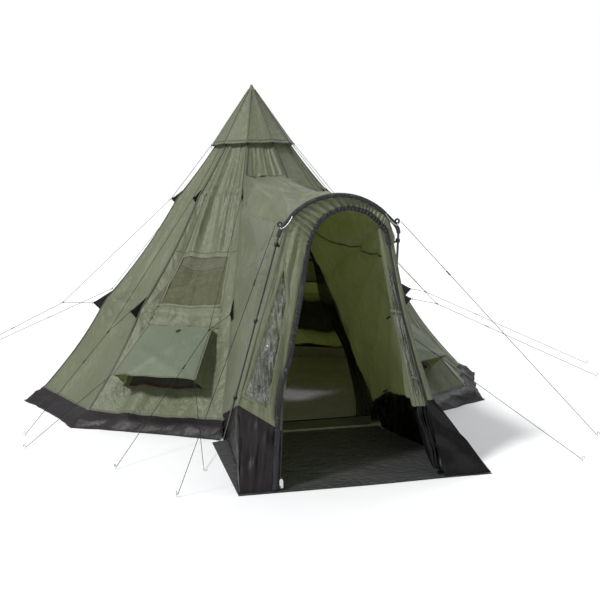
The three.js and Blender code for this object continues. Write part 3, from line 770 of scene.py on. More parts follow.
def make_canvas():
    per_face, rows = 42, 132
    heights = [mix(WALL_FOOT, WALL_TOP, r / rows) for r in range(rows + 1)]
    across = [(azimuth, 2 * c / per_face - 1) for azimuth in FRONT_LAST for c in range(per_face)] + [(360, 1)]
    grid = [[on_canvas(azimuth, s, z) for azimuth, s in across] for z in heights]

    def keep(r, c):
        azimuth = FRONT_LAST[c // per_face]
        s = 2 * (c % per_face + 0.5) / per_face - 1
        z = (heights[r] + heights[r + 1]) / 2
        if azimuth == 360:
            return z > PORCH_SEAM
        if not has_window(azimuth):
            return True
        in_window = abs(s) < WINDOW_S and WINDOW_FOOT < z < WINDOW_TOP
        across = abs(s) * half_width(z)
        in_vent = VENT_FOOT + VENT_LAP < z < VENT_TOP - VENT_LAP and across < vent_half(z) - VENT_LAP
        return not (in_window or in_vent)

    canvas = cloth_grid("pyramid_canvas", grid, "canvas", keep=keep)
    names = ["wall_panel_1_front"] + [f"wall_panel_{i}" for i in range(2, 11)]
    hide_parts(*names)
    windows = len(WINDOW_FACES) * WINDOW_S * face_cut(WINDOW_FOOT, WINDOW_TOP)
    vent_height = (VENT_TOP - VENT_FOOT - 2 * VENT_LAP) * FACE_LENGTH
    vents = len(WINDOW_FACES) * (vent_half(VENT_TOP) + vent_half(VENT_FOOT) - 2 * VENT_LAP) * vent_height
    cut = 9 * face_cut(WALL_FOOT, WALL_TOP) + face_cut(PORCH_SEAM, WALL_TOP) - windows - vents
    around = 20 * half_width(WALL_FOOT)


def face_ribbon(name, azimuth, path, width, look="seam", lift=0.0015):
    """Tape along a path of (s, z) on a face."""
    points = []
    for (s0, z0), (s1, z1) in zip(path, path[1:]):
        steps = max(4, ceil(abs(z1 - z0) / 0.04 + abs(s1 - s0) / 0.07))
        points += [on_canvas(azimuth, mix(s0, s1, k / steps), mix(z0, z1, k / steps)) for k in range(steps)]
    points.append(on_canvas(azimuth, *path[-1]))
    normal = face_axes(azimuth)[2]
    return ribbon(name, points, normal, width, look, lift=lift)


def make_seams():
    strips = []
    heights = [mix(WALL_FOOT, WALL_TOP - 0.05, k / 60) for k in range(61)]
    for i, azimuth in enumerate(FACES):
        ridge = azimuth + 18
        points = [polar(ridge, ridge_radius(z) - ridge_pull(z), z) for z in heights]
        normal = (polar(ridge, 1, 0) + UP * RIDGE_SLOPE).normalized()
        strips.append(ribbon(f"seam_{i}", points, normal, 0.034, lift=-0.001, crown=0.004))
    join("ridge_seams", strips)
    edge = WINDOW_S + 0.02
    upright = [[(s, 0.93), (s, WALL_TOP - 0.2)] for s in (-edge, edge)]
    levels = ((1, WINDOW_TOP + 0.035), (edge, WINDOW_FOOT - 0.01), (edge, HOOD_HINGE + 0.02))
    paths = upright + [[(-s, z), (s, z)] for s, z in levels]
    join("panel_seams", [
        face_ribbon(f"panel_seam_{azimuth}_{k}", azimuth, path, 0.016)
        for azimuth in WINDOW_FACES for k, path in enumerate(paths)
    ])
    foot = [(-1, WALL_FOOT + 0.012), (1, WALL_FOOT + 0.012)]
    join("foot_seam", [face_ribbon(f"foot_{azimuth}", azimuth, foot, 0.024) for azimuth in FACES[1:]])


def window_cover(azimuth, half, down):
    """The inner cover: drawn up into a soft stack of folds at a front window, hanging down at a rear one."""
    fold = 0.004 if down else COVER_DEPTH

    def point(t, u):
        s = mix(-half, half, u)
        droop = 0.105 + 0.045 * (1 - (s / half) ** 2) + 0.012 * ripple(s * 3, 0, azimuth)
        if down:
            droop = WINDOW_TOP - WINDOW_FOOT + 0.03
        inward = -0.012 - fold * (0.5 - 0.5 * cos(2 * pi * COVER_FOLDS * t))
        inward -= 0.006 * ripple(s * 7, t * 3, azimuth + 2)
        return on_canvas(azimuth % 360, s, WINDOW_TOP + 0.01 - droop * t, inward)

    return grid_of(COVER_FOLDS * 8, 32, point)


def declare_on_face(cloth, half, low, high, **more):
    """Works out the flat size and the area of a cloth that covers a share of a face's width (half, from 0 to
    1) between two heights, and keeps neither.
    """
    flat = (2 * half * half_width(low), (high - low) * FACE_LENGTH)
    half * face_cut(low, high)


def make_windows():
    turns = ((-1, WINDOW_FOOT), (1, WINDOW_FOOT), (1, WINDOW_TOP), (-1, WINDOW_TOP), (-1, WINDOW_FOOT))
    outline = [(sign * WINDOW_S, z) for sign, z in turns]
    edge, low, high = WINDOW_S + 0.03, WINDOW_FOOT - 0.02, WINDOW_TOP + 0.02
    for name, azimuth in HOOD_AZIMUTHS.items():
        face = azimuth % 360
        screen = cloth_grid(
            f"window_mesh_{name}",
            grid_of(16, 40, lambda t, u: on_canvas(face, mix(-edge, edge, u), mix(low, high, t), -0.004)),
            "window",
        )
        declare_on_face(screen, edge, low, high, held="stretched", rests_on=["pyramid_canvas"])
        strips = [face_ribbon(f"window_edge_{name}_{k}", face, outline[k:k + 2], 0.030, "canvas", lift=0.001)
                  for k in range(4)]
        join(f"window_binding_{name}", strips)
        down = name.startswith("rear")
        half = WINDOW_S + 0.02 if down else COVER_S
        rows = window_cover(azimuth, half, down)
        cover = cloth_grid(f"window_cover_{name}", rows, "hood" if down else "cover")
        hem = tube_mesh(f"window_cover_hem_{name}", rows[-1][1:-1], 0.007, "hem")
        span = (low, WINDOW_TOP + 0.01) if down else (WINDOW_FOOT, WINDOW_TOP)
        declare_on_face(cover, half, *span, held="hung" if down else "gathered",
                        rests_on=[f"window_mesh_{name}"], with_pieces=[hem])


make_canvas()
make_seams()
make_windows()


# ---------------------------------------------------------------- guy-out patches

def make_patch(name, i, ridge, top, foot, tip_radius, tip_z):
    """A doubled triangle of webbing cloth on a ridge, with a strap and a ring at its tip."""
    towards = 1 if ridge < 180 else -1
    side = polar(ridge, 0, 0, 1) * (0.0023 * towards)
    tip = polar(ridge, tip_radius, tip_z)
    layers = []
    for offset in (-1, 1):
        def point(t, u):
            z = mix(top + 0.035, foot - 0.02, t)
            root = polar(ridge, ridge_radius(z) - ridge_pull(z) - 0.004, z)
            p = root.lerp(tip.lerp(root, 0.06), u)
            p += side * 0.9 * offset * (1 - 0.5 * u)
            return p + side.normalized() * 0.006 * sin(pi * u) * ripple(t * 2, u * 2, i + top)

        layers.append(cloth_grid(f"{name}_{offset}", grid_of(8, 8, point), "webbing"))
    join(name, layers)
    root_mid = polar(ridge, ridge_radius(tip_z) - 0.01, mix(top, foot, 0.5))
    strap = [root_mid.lerp(tip, t) for t in (0.15, 0.4, 0.7, 0.95)]
    ribbon(f"{name}_strap", strap, side.normalized(), 0.022, "webbing", lift=0.004)
    out = (tip - root_mid).normalized()
    ring = [tip + out * (0.004 - 0.009 * cos(a)) + UP * 0.011 * sin(a) for a in full_turn(16)]
    tube_mesh(f"{name}_ring", ring, 0.0018, "plastic")


def make_patches():
    for i, azimuth in enumerate(FACES):
        for level, shape in (("upper", UPPER_PATCH), ("lower", LOWER_PATCH)):
            make_patch(f"patch_{level}_{i}", i, azimuth + 18, *shape)


make_patches()


# ---------------------------------------------------------------- rain cap

def on_cap(t, u):
    """The rain cap's cloth: t from its tip to its hem, u round it."""
    z = mix(CAP_TIP - 0.004, CAP_HEM - 0.012, t ** 0.9)
    azimuth = 18 + 360 * u
    within, flat = ten_sided(azimuth)
    radius = CAP_RADIUS / (CAP_TIP - CAP_HEM) * (CAP_TIP - z) * mix(1.0, flat, 0.85)
    x, y = cos(radians(azimuth % 360)), sin(radians(azimuth % 360))
    fold = 0.007 * t * ripple(3.2 * x, 3.2 * y, 4 + t)
    fold += 0.004 * t * ripple(9 * x, 9 * y, 8 + t * 0.5)
    fold -= 0.012 * sin(pi * t) * (1 - within * within)
    lip = 0.006 * smooth((t - 0.9) / 0.1)
    return polar(azimuth, max(radius + fold + lip, 0.012), z - 0.010 * t * (1 - within ** 2) * 0.6)


def make_cap():
    around_steps, per_side = 200, 20
    rows = grid_of(34, around_steps, on_cap)
    cap = cloth_grid("rain_cap_cloth", rows, "cap")
    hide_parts("rain_cap")
    normals = [polar(18 + 360 * c / around_steps, 1, 0.5).normalized() for c in range(around_steps + 1)]
    hem = ribbon("rain_cap_hem", [p + UP * 0.004 for p in rows[-1]], normals, 0.009, "hem", crown=0.003)
    stitching = ribbon("rain_cap_stitching", rows[-3], normals, 0.007, "hem", crown=0.002)
    seams = []
    for i in range(10):
        points = [row[per_side * i] for row in rows[2:]]
        normal = polar(18 + 36 * i, 1, 0.7).normalized()
        seams.append(ribbon(f"cap_seam_{i}", points, normal, 0.016))
    seams = join("rain_cap_seams", seams)
    ties = []
    for i in range(10):
        ridge = 18 + 36 * i
        top = polar(ridge, CAP_RADIUS + 0.004, CAP_HEM - 0.004)
        foot = polar(ridge, ridge_radius(CAP_HEM - 0.05) + 0.004, CAP_HEM - 0.05)
        points = [top.lerp(foot, k / 4) for k in range(5)]
        ties.append(ribbon(f"tie_{i}", points, polar(ridge, 1, 0), 0.020, "webbing"))
    join("rain_cap_ties", ties)


make_cap()


# ---------------------------------------------------------------- sod skirt and floor

SKIRT_RADIUS = 2.68
FLOOR_RADIUS = 2.392
RIM_RADIUS, RIM_HEIGHT = 2.31, 0.13


def on_skirt(azimuth, s, t):
    """t runs from the wall down to the ground edge."""
    top = on_canvas(azimuth, s, WALL_FOOT + 0.004, 0.002)
    left, right = (polar(azimuth + turn, SKIRT_RADIUS - 0.004, 0.004) for turn in (-18, 18))
    out = polar(azimuth, 1, 0)
    foot = left.lerp(right, (s + 1) / 2)
    foot -= out * (0.035 * (1 - s * s) + 0.012 * ripple(s * 4, 1, azimuth))
    seed = azimuth * 0.21
    bulge = 0.020 * sin(pi * min(t, 0.98))
    for k, x in enumerate(((s + 1) * half_width(WALL_FOOT), (1 - s) * half_width(WALL_FOOT))):
        bulge += radial_folds(x, 0.26 * (1 - t) + 0.001, 15, 0.40, 0.011, seed + k)
    bulge += 0.006 * ripple(s * 6 + 2 * t, t * 1.5, seed + 4)
    shape = sin(pi * t) ** 0.7 if 0 < t < 1 else 0
    point = top.lerp(foot, t) + (out * 0.6 + UP * 0.8).normalized() * bulge * shape
    point.z = max(point.z, 0.003)
    return point


def make_skirt():
    per_face, rows = 34, 16
    across = [(azimuth, 2 * c / per_face - 1) for azimuth in FACES[1:] for c in range(per_face)]
    across.append((FACES[-1], 1))
    grid = [[on_skirt(azimuth, s, r / rows) for azimuth, s in across] for r in range(rows + 1)]
    skirt = cloth_grid("sod_skirt_cloth", grid, "skirting")
    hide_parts("sod_skirt")
    edge = [p + UP * 0.001 for p in grid[-1]]
    out = [(Vector((p.x, p.y, 0)).normalized() + UP * 0.8).normalized() for p in edge]
    hem = ribbon("sod_skirt_hem", edge, out, 0.014, "webbing", crown=0.003)
    loops = []
    for azimuth in FRONT_LAST:
        ridge = azimuth - 18
        corner = polar(ridge, SKIRT_RADIUS - 0.02, 0.008)
        out = polar(ridge, 1, 0)
        side = polar(ridge, 0, 0, 1)
        loop = [corner + out * (0.030 * sin(a)) + side * (0.014 * cos(a)) + UP * 0.002
                for a in [pi * k / 10 for k in range(11)]]
        loops.append(ribbon(f"peg_loop_{azimuth}", loop, UP, 0.010, "webbing"))
    loops = join("peg_loops", loops)


def on_floor(t, u):
    """The floor sheet: t from its middle to its edge, u round it."""
    azimuth = 18 + 360 * u
    p = polar(azimuth, max(FLOOR_RADIUS * t, 0.05) * ten_sided(azimuth)[1], 0)
    folds = 0.5 + 0.5 * ripple(p.x * 1.3 + ripple(p.y * 1.2, 0, 2), p.y * 5.5 + p.x * 2.5, 3)
    p.z = 0.003 + 0.010 * folds * smooth((40 * t - 1) / 4) * smooth(40 * (1 - t) / 3)
    return p


def on_rim(t, u):
    """The sheet's edge is turned up inside the wall, except at the doorway."""
    side = min(int(u * 9), 8)
    azimuth, share = FACES[1 + side], u * 9 - side
    s = 2 * share - 1
    left, right = (polar(azimuth + turn, RIM_RADIUS, 0.012 + RIM_HEIGHT * t) for turn in (-18, 18))
    wrinkle = 0.006 * (1 - s * s) * ripple(s * 6, RIM_HEIGHT * t * 5, azimuth)
    return left.lerp(right, share) + polar(azimuth, wrinkle, 0)


def make_floor():
    sheet = cloth_grid("floor_cloth", grid_of(40, 240, on_floor), "floor")
    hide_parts("floor_sheet")
    rim = cloth_grid("floor_rim", [row[:-1] for row in grid_of(6, 180, on_rim)], "floor")


make_skirt()
make_floor()


# ---------------------------------------------------------------- vent hoods

def hood_surface(azimuth, a, b):
    """The cloth of an open hood, a from -1 to 1 across and b from 0 at the hinge to 1."""
    half = mix(HOOD_TOP, HOOD_FOOT, b)
    lift = 0.006 + 0.016 * (1 - a * a) * sin(pi * min(b, 1.0))
    across, down = a * half, b * HOOD_LENGTH
    creases = (
        (across * 0.80 + (down - 0.35) * 0.75, 0.015, 0.045),
        (across * 0.45 - (down - 0.50) * 0.9, 0.011, 0.05),
    )
    for off, depth, width in creases:
        lift += depth * exp(-(off / width) ** 2) * smooth(b * 4) * smooth((1 - abs(a)) * 3)
    lift += 0.004 * ripple(a * 3 + b, b * 3, azimuth)
    lift -= 0.010 * smooth((abs(a) - 0.88) / 0.12) * b
    return on_hood(azimuth, across, down * (1 - 0.006 * (1 - a * a)), lift)


def make_flap(name, azimuth, body):
    side, down, normal = face_axes(azimuth)
    rows = grid_of(30, 44, lambda b, u: hood_surface(azimuth, 2 * u - 1, b))
    flap = cloth_grid(f"hood_{name}_flap", rows, "hood", body)
    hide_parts(f"vent_hood_{name}")
    out = (normal * cos(HOOD_OPEN) - down * sin(HOOD_OPEN)).normalized()
    edges = ((rows[-1], 0.018), ([row[1] for row in rows], 0.012), ([row[-2] for row in rows], 0.012))
    join(f"hood_{name}_hems", [
        ribbon(f"hood_hem_{name}_{k}", edge, out, width, body=body) for k, (edge, width) in enumerate(edges)
    ])
    toggle = hood_surface(azimuth, 0.05, 0.10) + out * 0.010
    slanted = (side * 0.8 - down * 0.5).normalized()
    moulded(f"hood_{name}_toggle", [(toggle, slanted, out, (0.050, 0.013, 0.012))], body)
    loop = [toggle + slanted * (0.012 * sin(a)) + down * (0.020 * (1 - cos(a))) for a in full_turn(14)]
    tube_mesh(f"hood_{name}_toggle_loop", loop, 0.002, "cord", body)
    return out


def make_gussets(name, azimuth, out):
    """The gussets close the hood's sides. They are built open; the real ones fold flat when it shuts."""
    side, _, normal = face_axes(azimuth)
    for tag, sign in SIDES:
        def point(t, g):
            b = mix(0.04, 0.995, t)
            outer = hood_surface(azimuth, sign * 0.992, b) - out * 0.001
            z = HOOD_HINGE - b * HOOD_LENGTH * 0.97 / FACE_LENGTH
            s = sign * (mix(HOOD_TOP, HOOD_FOOT, b) + 0.03 * b) / half_width(z)
            p = outer.lerp(on_canvas(azimuth % 360, s, z, 0.004), g)
            p -= side * sign * (0.05 * b * sin(pi * g) + 0.016 * b * sin(3 * pi * g))
            return p + side * 0.006 * ripple(g * 4, b * 7, azimuth + sign)

        gusset = cloth_grid(f"hood_{name}_gusset_{tag}", grid_of(24, 12, point), "canvas")
        anchor = polar(azimuth, FACE_SLOPE * (RIDGE_APEX - 0.6), 0.6) - normal * 0.008
        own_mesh(gusset)
        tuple(normal)


def make_vent(name, azimuth):
    """The dark mesh vent in the wall under the hood, with its binding."""
    def point(t, u):
        z = mix(VENT_TOP, VENT_FOOT, t)
        half = vent_half(z)
        return on_canvas(azimuth % 360, mix(-half, half, u) / half_width(z), z, 0.004)

    rows = grid_of(16, 30, point)
    vent = cloth_grid(f"vent_mesh_{name}", rows, "vent")
    ribbon(f"vent_binding_{name}", rows[-1], face_axes(azimuth)[2], 0.030, "red", lift=0.003)


def make_hoods():
    for name, azimuth in HOOD_AZIMUTHS.items():
        out = make_flap(name, azimuth, f"hood_{name}")
        make_gussets(name, azimuth, out)
        make_vent(name, azimuth)


make_hoods()


# ---------------------------------------------------------------- porch canopy

FRONT_FOOT_Y, FRONT_LEAN = -4.33, 0.19324
LEG_HEAD, LEG_FOOT = Vector((0.492, -3.926, 1.925)), Vector((0.790, -2.590, 0.014))
SLEEVE_RADIUS = 0.0165
ROOF_Q = 0.3
FRONT_EDGE = {
    -1: [(-0.406, 2.070), (-0.572, 1.567), (-0.740, 1.103), (-0.892, 0.656)],
    1: [(0.406, 2.070), (0.488, 1.393), (0.566, 0.998), (0.662, 0.606)],
}
LEG_BAND_Z, BAND_AT_RIDGE_Z = 0.424, 0.20
LEG_CLEARANCE = 0.16


def ends(t, first, last=None):
    """1 inside, and falling to 0 at both ends of a range from 0 to 1."""
    return smooth(t / first) * smooth((1 - t) / (last or first))


def front(x, z, out=0.0):
    """A point on the leaning front of the porch."""
    return Vector((x, FRONT_FOOT_Y + FRONT_LEAN * z - out, z))


def arch(degrees, radius=ARCH_RADIUS):
    a = radians(degrees)
    return Vector((radius * sin(a), ARCH_Y, ARCH_CENTRE_Z + radius * cos(a)))


def on_leg(side, z, inset=0.0):
    t = (LEG_HEAD.z - z) / (LEG_HEAD.z - LEG_FOOT.z)
    p = LEG_HEAD.lerp(LEG_FOOT, t)
    return Vector((side * (p.x - inset), p.y, z))


def side_curves(side, v):
    """The front edge, the leg line and the ridge line at v, from the arch (0) to the black band (1)."""
    edge = along([front(x, z, -0.004) for x, z in FRONT_EDGE[side]], v)
    leg_z = mix(2.062, LEG_BAND_Z, v)
    corner = Vector((side * 0.404, -3.900, 2.062))
    beside = on_leg(side, min(leg_z, 1.9), 0.019)
    leg = corner.lerp(beside, smooth(v / 0.12)) if v < 0.12 else beside
    z = mix(PORCH_SEAM, BAND_AT_RIDGE_Z, v)
    ridge = polar(side * 18, ridge_radius(z) - ridge_pull(z) - 0.002, z)
    return edge, leg, ridge


def on_porch(q, t):
    """The porch cloth: q from -1 to 1 from band to band over the arch, t from the front to the tent."""
    side = -1 if q < 0 else 1
    if abs(q) < ROOF_Q:
        s = q / ROOF_Q
        head = arch(s * ARCH_HALF, ARCH_RADIUS + SLEEVE_RADIUS + 0.002)
        back = on_canvas(0, s, PORCH_SEAM, 0.001)
        point = head.lerp(back, t)
        point.z -= 0.060 * 4 * t * (1 - t) * (1 - 0.75 * s * s)
        up = Vector((sin(radians(s * 46)), 0, cos(radians(s * 46))))
        bump = 0.0
        for k, corner in enumerate((-1, 1)):
            dx, dy = point.x - corner * 0.42, point.y - ARCH_Y
            bump += radial_folds(dy, dx * 2.2, 16, 2.0, 0.045, 11 + k, 0.6)
        bump += 0.018 * ripple(s * 2.6 + t * 1.4, t * 1.1, 21)
        return point + up * bump * ends(t, 0.06, 0.08)
    v = (abs(q) - ROOF_Q) / (1 - ROOF_Q)
    edge, leg, ridge = side_curves(side, v)
    before, after = (edge - leg).length, (ridge - leg).length
    split = before / (before + after)
    if t < split:
        w = t / split
        point = edge.lerp(leg, w)
        hang = -0.022 * sin(pi * w) * smooth(v * 3)
    else:
        w = (t - split) / (1 - split)
        point = leg.lerp(ridge, w)
        hang = -0.060 * sin(pi * w) * smooth(v * 2.5) * mix(1, 0.35, v)
        point.z -= 0.060 * 4 * w * (1 - w) * 0.25 * (1 - smooth(v * 3))
    normal = Vector((side, 0, mix(0.9, 0.18, smooth(v * 2.5)))).normalized()
    dy, dz = point.y + 3.90, point.z - 2.03
    folds = radial_folds(dy, dz, 24, 2.6, 0.080, 31 + side, 0.5)
    folds += radial_folds(point.y + 0.72, point.z - 2.42, 20, 1.3, 0.040, 37 + side, 0.6)
    folds += 0.012 * ripple(dy * 2.4, dz * 2.2, 33 + side)
    folds += 0.012 * ripple(dy * 5 + dz * 4, dz * 1.5, 35 + side)
    # beside the leg the cloth stays inside it, so that the leg is in view
    from_leg = (1 - w) * before if t < split else w * after
    by_leg = exp(-(from_leg / LEG_CLEARANCE) ** 2)
    folds = mix(folds, -0.014, by_leg)
    return point + normal * (hang + folds * ends(t, 0.05))


def make_porch_canopy():
    grid = grid_of(130, 220, lambda t, u: on_porch(2 * u - 1, t))
    cloth = cloth_grid("porch_canopy", grid, "porch")
    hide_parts("porch_roof", "porch_wall_left", "porch_wall_right")
    # the roof is a trapezoid from the arch to the seam, and each side is two, meeting at the leg
    across_front, across_back = 2 * radians(ARCH_HALF) * ARCH_RADIUS, 2 * half_width(PORCH_SEAM)
    depth = (arch(0) - polar(0, FACE_COS * ridge_radius(PORCH_SEAM), PORCH_SEAM)).length
    cut = (across_front + across_back) / 2 * depth
    for side in (-1, 1):
        (edge0, leg0, ridge0), (edge1, leg1, ridge1) = side_curves(side, 0), side_curves(side, 1)
        cut += polygon_cut([edge0, edge1, leg1, leg0]) + polygon_cut([leg0, leg1, ridge1, ridge0])
    seam = [p + UP * 0.002 for p in grid[-1] if p.z > PORCH_SEAM - 0.02]
    ribbon("porch_roof_seam", seam, face_axes(0)[2], 0.022)
    for name, side in SIDES:
        inside = Vector((-side, 0, 0))
        seam = [on_porch(side * mix(0.452, 0.466, k / 80), mix(0.07, 0.97, k / 80)) for k in range(81)]
        ribbon(f"porch_inner_seam_{name}", seam, inside, 0.016, "hem", crown=0.003)
    for name, side in SIDES:
        edge = [on_porch(side * mix(ROOF_Q + 0.01, 1, k / 50), 0.0) for k in range(51)]
        ribbon(f"porch_edge_{name}", edge, Vector((side * 0.8, -0.6, 0.1)).normalized(), 0.018, crown=0.004)


def make_arch_sleeve():
    steps = 140
    points = [arch(mix(-ARCH_HALF, ARCH_HALF, k / steps)) for k in range(steps + 1)]
    puckers = [0.0012 * sin(k * 1.3) + 0.0006 * ripple(k * 0.35, 0, 5) for k in range(steps + 1)]
    radii = [SLEEVE_RADIUS + pucker for pucker in puckers]
    radii[0] = radii[-1] = 0.0135
    tube_mesh("arch_sleeve", points, radii, "binding", sides=20)
    for name, side in SIDES:
        top = arch(side * 44.5)
        low = Vector((side * 0.470, ARCH_Y - 0.016, 1.985))
        ahead = Vector((0, -0.020, 0))
        hook = [
            top + ahead,
            top.lerp(low, 0.3) + ahead * 1.15 + Vector((side * -0.012, 0, 0)),
            top.lerp(low, 0.7) + ahead * 1.1 + Vector((side * -0.010, 0, -0.006)),
            low + ahead * 0.6,
            low + Vector((side * 0.010, -0.004, 0.012)),
        ]
        tube_mesh(f"sleeve_hook_{name}", [along(hook, k / 20) for k in range(21)], 0.0035, "steel", sides=10)


def make_leg_clips():
    for name, side in SIDES:
        run = (on_leg(side, 0.5) - on_leg(side, 1.5)).normalized()
        for k, z in enumerate((1.86, 1.20, 0.46)):
            centre = on_leg(side, z)
            inward = Vector((-side, 0, 0))
            inward = (inward - run * inward.dot(run)).normalized()
            other = run.cross(inward)
            moulded(f"leg_clip_{name}_{k}", [
                (centre + inward * 0.013, inward, run, (0.010, 0.026, 0.030)),
                (centre + other * 0.013, inward, run, (0.024, 0.007, 0.026)),
                (centre - other * 0.013, inward, run, (0.024, 0.007, 0.026)),
                (centre - inward * 0.012, other, run, (0.018, 0.006, 0.022)),
            ])
            strap = [centre + inward * d - UP * 0.4 * d for d in (0.012, 0.03, 0.05, 0.07)]
            ribbon(f"leg_clip_tab_{name}_{k}", strap, other, 0.020, "webbing")


# ---------------------------------------------------------------- porch front

# points (x, z) on the leaning front, from the foot on the left over the top to the foot on the right
DOOR_EDGE = [
    (-0.560, 0.446), (-0.531, 0.678), (-0.452, 1.052), (-0.356, 1.430), (-0.288, 1.736),
    (-0.237, 1.905), (-0.138, 2.051), (0.040, 2.128), (0.190, 2.108), (0.272, 2.063),
    (0.345, 1.985), (0.385, 1.900), (0.448, 1.393), (0.526, 0.998), (0.614, 0.602),
]
WALL_EDGE = [
    (-0.888, 0.662), (-0.840, 0.800), (-0.712, 1.170), (-0.592, 1.500), (-0.488, 1.800),
    (-0.398, 2.050), (-0.270, 2.150), (0.000, 2.222), (0.190, 2.190), (0.300, 2.132),
    (0.385, 2.060), (0.412, 1.950), (0.486, 1.393), (0.564, 0.998), (0.660, 0.606),
]
CLEAR_PANE = [(-0.464, 1.727), (-0.847, 0.735), (-0.660, 0.611), (-0.451, 1.434)]


def curve_2d(points, t):
    p = along([Vector((x, z, 0)) for x, z in points], t)
    return p.x, p.y


def front_relief(z, w, u):
    """Folds of the front cloth: w along the doorway, u from the doorway to the outer edge."""
    header = smooth((w - 0.30) / 0.1) * smooth((0.80 - w) / 0.1)
    gathers = 0.024 * sin(310 * w + 3 * ripple(w * 9, 0, 2)) * (1 - 0.5 * u) * header
    upright = 0.018 * ripple(u * 3.2 + z * 0.5, z * 0.8, 7) * (1 - header)
    upright += 0.012 * ripple(u * 7 - z * 0.8, z * 1.3, 9) * (1 - header)
    belly = 0.016 * sin(pi * u) * (1 - header)
    return (gathers + upright + belly) * ends(w, 0.05) * ends(u, 0.08)


def front_wall_point(w, u):
    x0, z0 = curve_2d(DOOR_EDGE, w)
    x1, z1 = curve_2d(WALL_EDGE, w)
    x, z = mix(x0, x1, u), mix(z0, z1, u)
    narrow = min(hypot(x1 - x0, z1 - z0) / 0.25, 1.0)
    return front(x, z, front_relief(z, w, u) * narrow)


def inside_polygon(x, z, corners):
    inside = False
    for (x0, z0), (x1, z1) in zip(corners, corners[1:] + corners[:1]):
        if (z0 > z) != (z1 > z) and x < (x1 - x0) * (z - z0) / (z1 - z0) + x0:
            inside = not inside
    return inside


FRONT_SPANS = len(DOOR_EDGE) - 1
FRONT_PANELS = (("left", 0, 5), ("header", 5, 11), ("right", 11, FRONT_SPANS))
FRONT_NORMAL = Vector((0, -1, FRONT_LEAN)).normalized()


def front_cut(points):
    """The flat area inside a loop of (x, z) points on the leaning front."""
    return polygon_cut([front(x, z) for x, z in points])


def distance(a, b):
    return hypot(b[0] - a[0], b[1] - a[1])


def make_front_panel(panel, first, last):
    start, end = first / FRONT_SPANS, last / FRONT_SPANS
    grid = grid_of(ceil(480 * (end - start)), 34, lambda t, u: front_wall_point(mix(start, end, t), u))

    def keep(r, c):
        p = (grid[r][c] + grid[r + 1][c + 1]) / 2
        return not inside_polygon(p.x, p.z, CLEAR_PANE)

    wall = cloth_grid(f"porch_front_{panel}", grid, "porch", keep=keep)
    door, edge = DOOR_EDGE[first:last + 1], WALL_EDGE[first:last + 1]
    cut = front_cut(door + edge[::-1])
    if panel == "left":
        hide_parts("porch_front_wall")
        cut -= front_cut(CLEAR_PANE)
    length = sum(distance(a, b) for a, b in zip(door, door[1:]))


PANE_LEFT = [(-0.466, 1.752), (-0.600, 1.400), (-0.735, 1.050), (-0.862, 0.722)]
PANE_RIGHT = [(-0.448, 1.752), (-0.436, 1.440), (-0.530, 1.050), (-0.650, 0.596)]


def on_pane(t, u):
    (x0, z0), (x1, z1) = curve_2d(PANE_LEFT, t), curve_2d(PANE_RIGHT, t)
    x, z = mix(x0, x1, u), mix(z0, z1, u)
    wrinkle = 0.010 * ripple(x * 26 + 3 * ripple(z * 3, x * 4, 1), z * 5.5, 41)
    wrinkle += 0.006 * ripple(x * 60, z * 14, 43) + 0.004 * ripple(x * 30, z * 40, 45)
    return front(x, z, 0.002 + wrinkle * ends(u, 1 / 9) * ends(t, 1 / 12))


def make_front_wall():
    for panel in FRONT_PANELS:
        make_front_panel(*panel)
    pane = cloth_grid("clear_pane", grid_of(90, 36, on_pane), "film")
    front_cut(PANE_LEFT + PANE_RIGHT[::-1])
    strips = []
    loop = CLEAR_PANE + CLEAR_PANE[:1]
    for k, ((x0, z0), (x1, z1)) in enumerate(zip(loop, loop[1:])):
        points = [front(mix(x0, x1, i / 24), mix(z0, z1, i / 24), 0.010) for i in range(25)]
        strips.append(ribbon(f"pane_edge_{k}", points, FRONT_NORMAL, 0.024, "canvas", crown=0.002))
    join("clear_pane_binding", strips)


def make_door_binding():
    jamb = [(-0.606, 0.012), (-0.585, 0.220)]
    path = jamb + [curve_2d(DOOR_EDGE, mix(0.0, 0.80, k / 260)) for k in range(261)]
    beside_zip = [(x - 0.038 * smooth((1.0 - z) / 0.25) * (x < 0), z) for x, z in path]
    points = [front(x, z, 0.006) for x, z in beside_zip]
    ribbon("door_binding", points, FRONT_NORMAL, 0.040, "binding", ruffle=0.009, pitch=0.030, crown=0.006)
    lower = [front(*curve_2d(DOOR_EDGE, mix(0.80, 1.0, k / 60)), 0.004) for k in range(61)]
    ribbon("door_binding_right", lower, FRONT_NORMAL, 0.016, "binding", ruffle=0.002, pitch=0.024)
    track = [front(mix(-0.600, -0.531, k / 40) - 0.004, mix(0.030, 0.690, k / 40), 0.0035) for k in range(41)]
    ribbon("zip_track", track, FRONT_NORMAL, 0.009, "plastic", crown=0.0015, ruffle=0.0006, pitch=0.006)


make_porch_canopy()
make_arch_sleeve()
make_leg_clips()
make_front_wall()
make_door_binding()


# ---------------------------------------------------------------- porch foot bands


def band_grid(top, foot, columns, seed, drape=0.022):
    """Black cloth between a top edge and a ground edge, creased from top to bottom."""
    width = length_of(top)

    def point(t, u):
        a, b = along(top, u), along(foot, u)
        p = a.lerp(b, t)
        step = along(top, min(u + 0.02, 1)) - along(top, max(u - 0.02, 0))
        normal = (b - a).cross(step)
        normal = normal.normalized() if normal.length > 1e-9 else UP
        if normal.dot(Vector((p.x, p.y + 3.3, 0))) < 0:
            normal = -normal
        run = u * width
        wave = drape * ripple(run * 7 + 1.5 * ripple(t * 2, run, seed), t * 1.4, seed)
        wave += 0.55 * drape * ripple(run * 24 + t * 2, t * 1.6, seed + 3)
        p += normal * wave * smooth(t * 5) * (0.35 + 0.65 * smooth((1 - t) * 2.5))
        p.z = max(p.z, 0.004)
        return p

    return grid_of(22, columns, point)


GROUND_Z = 0.004


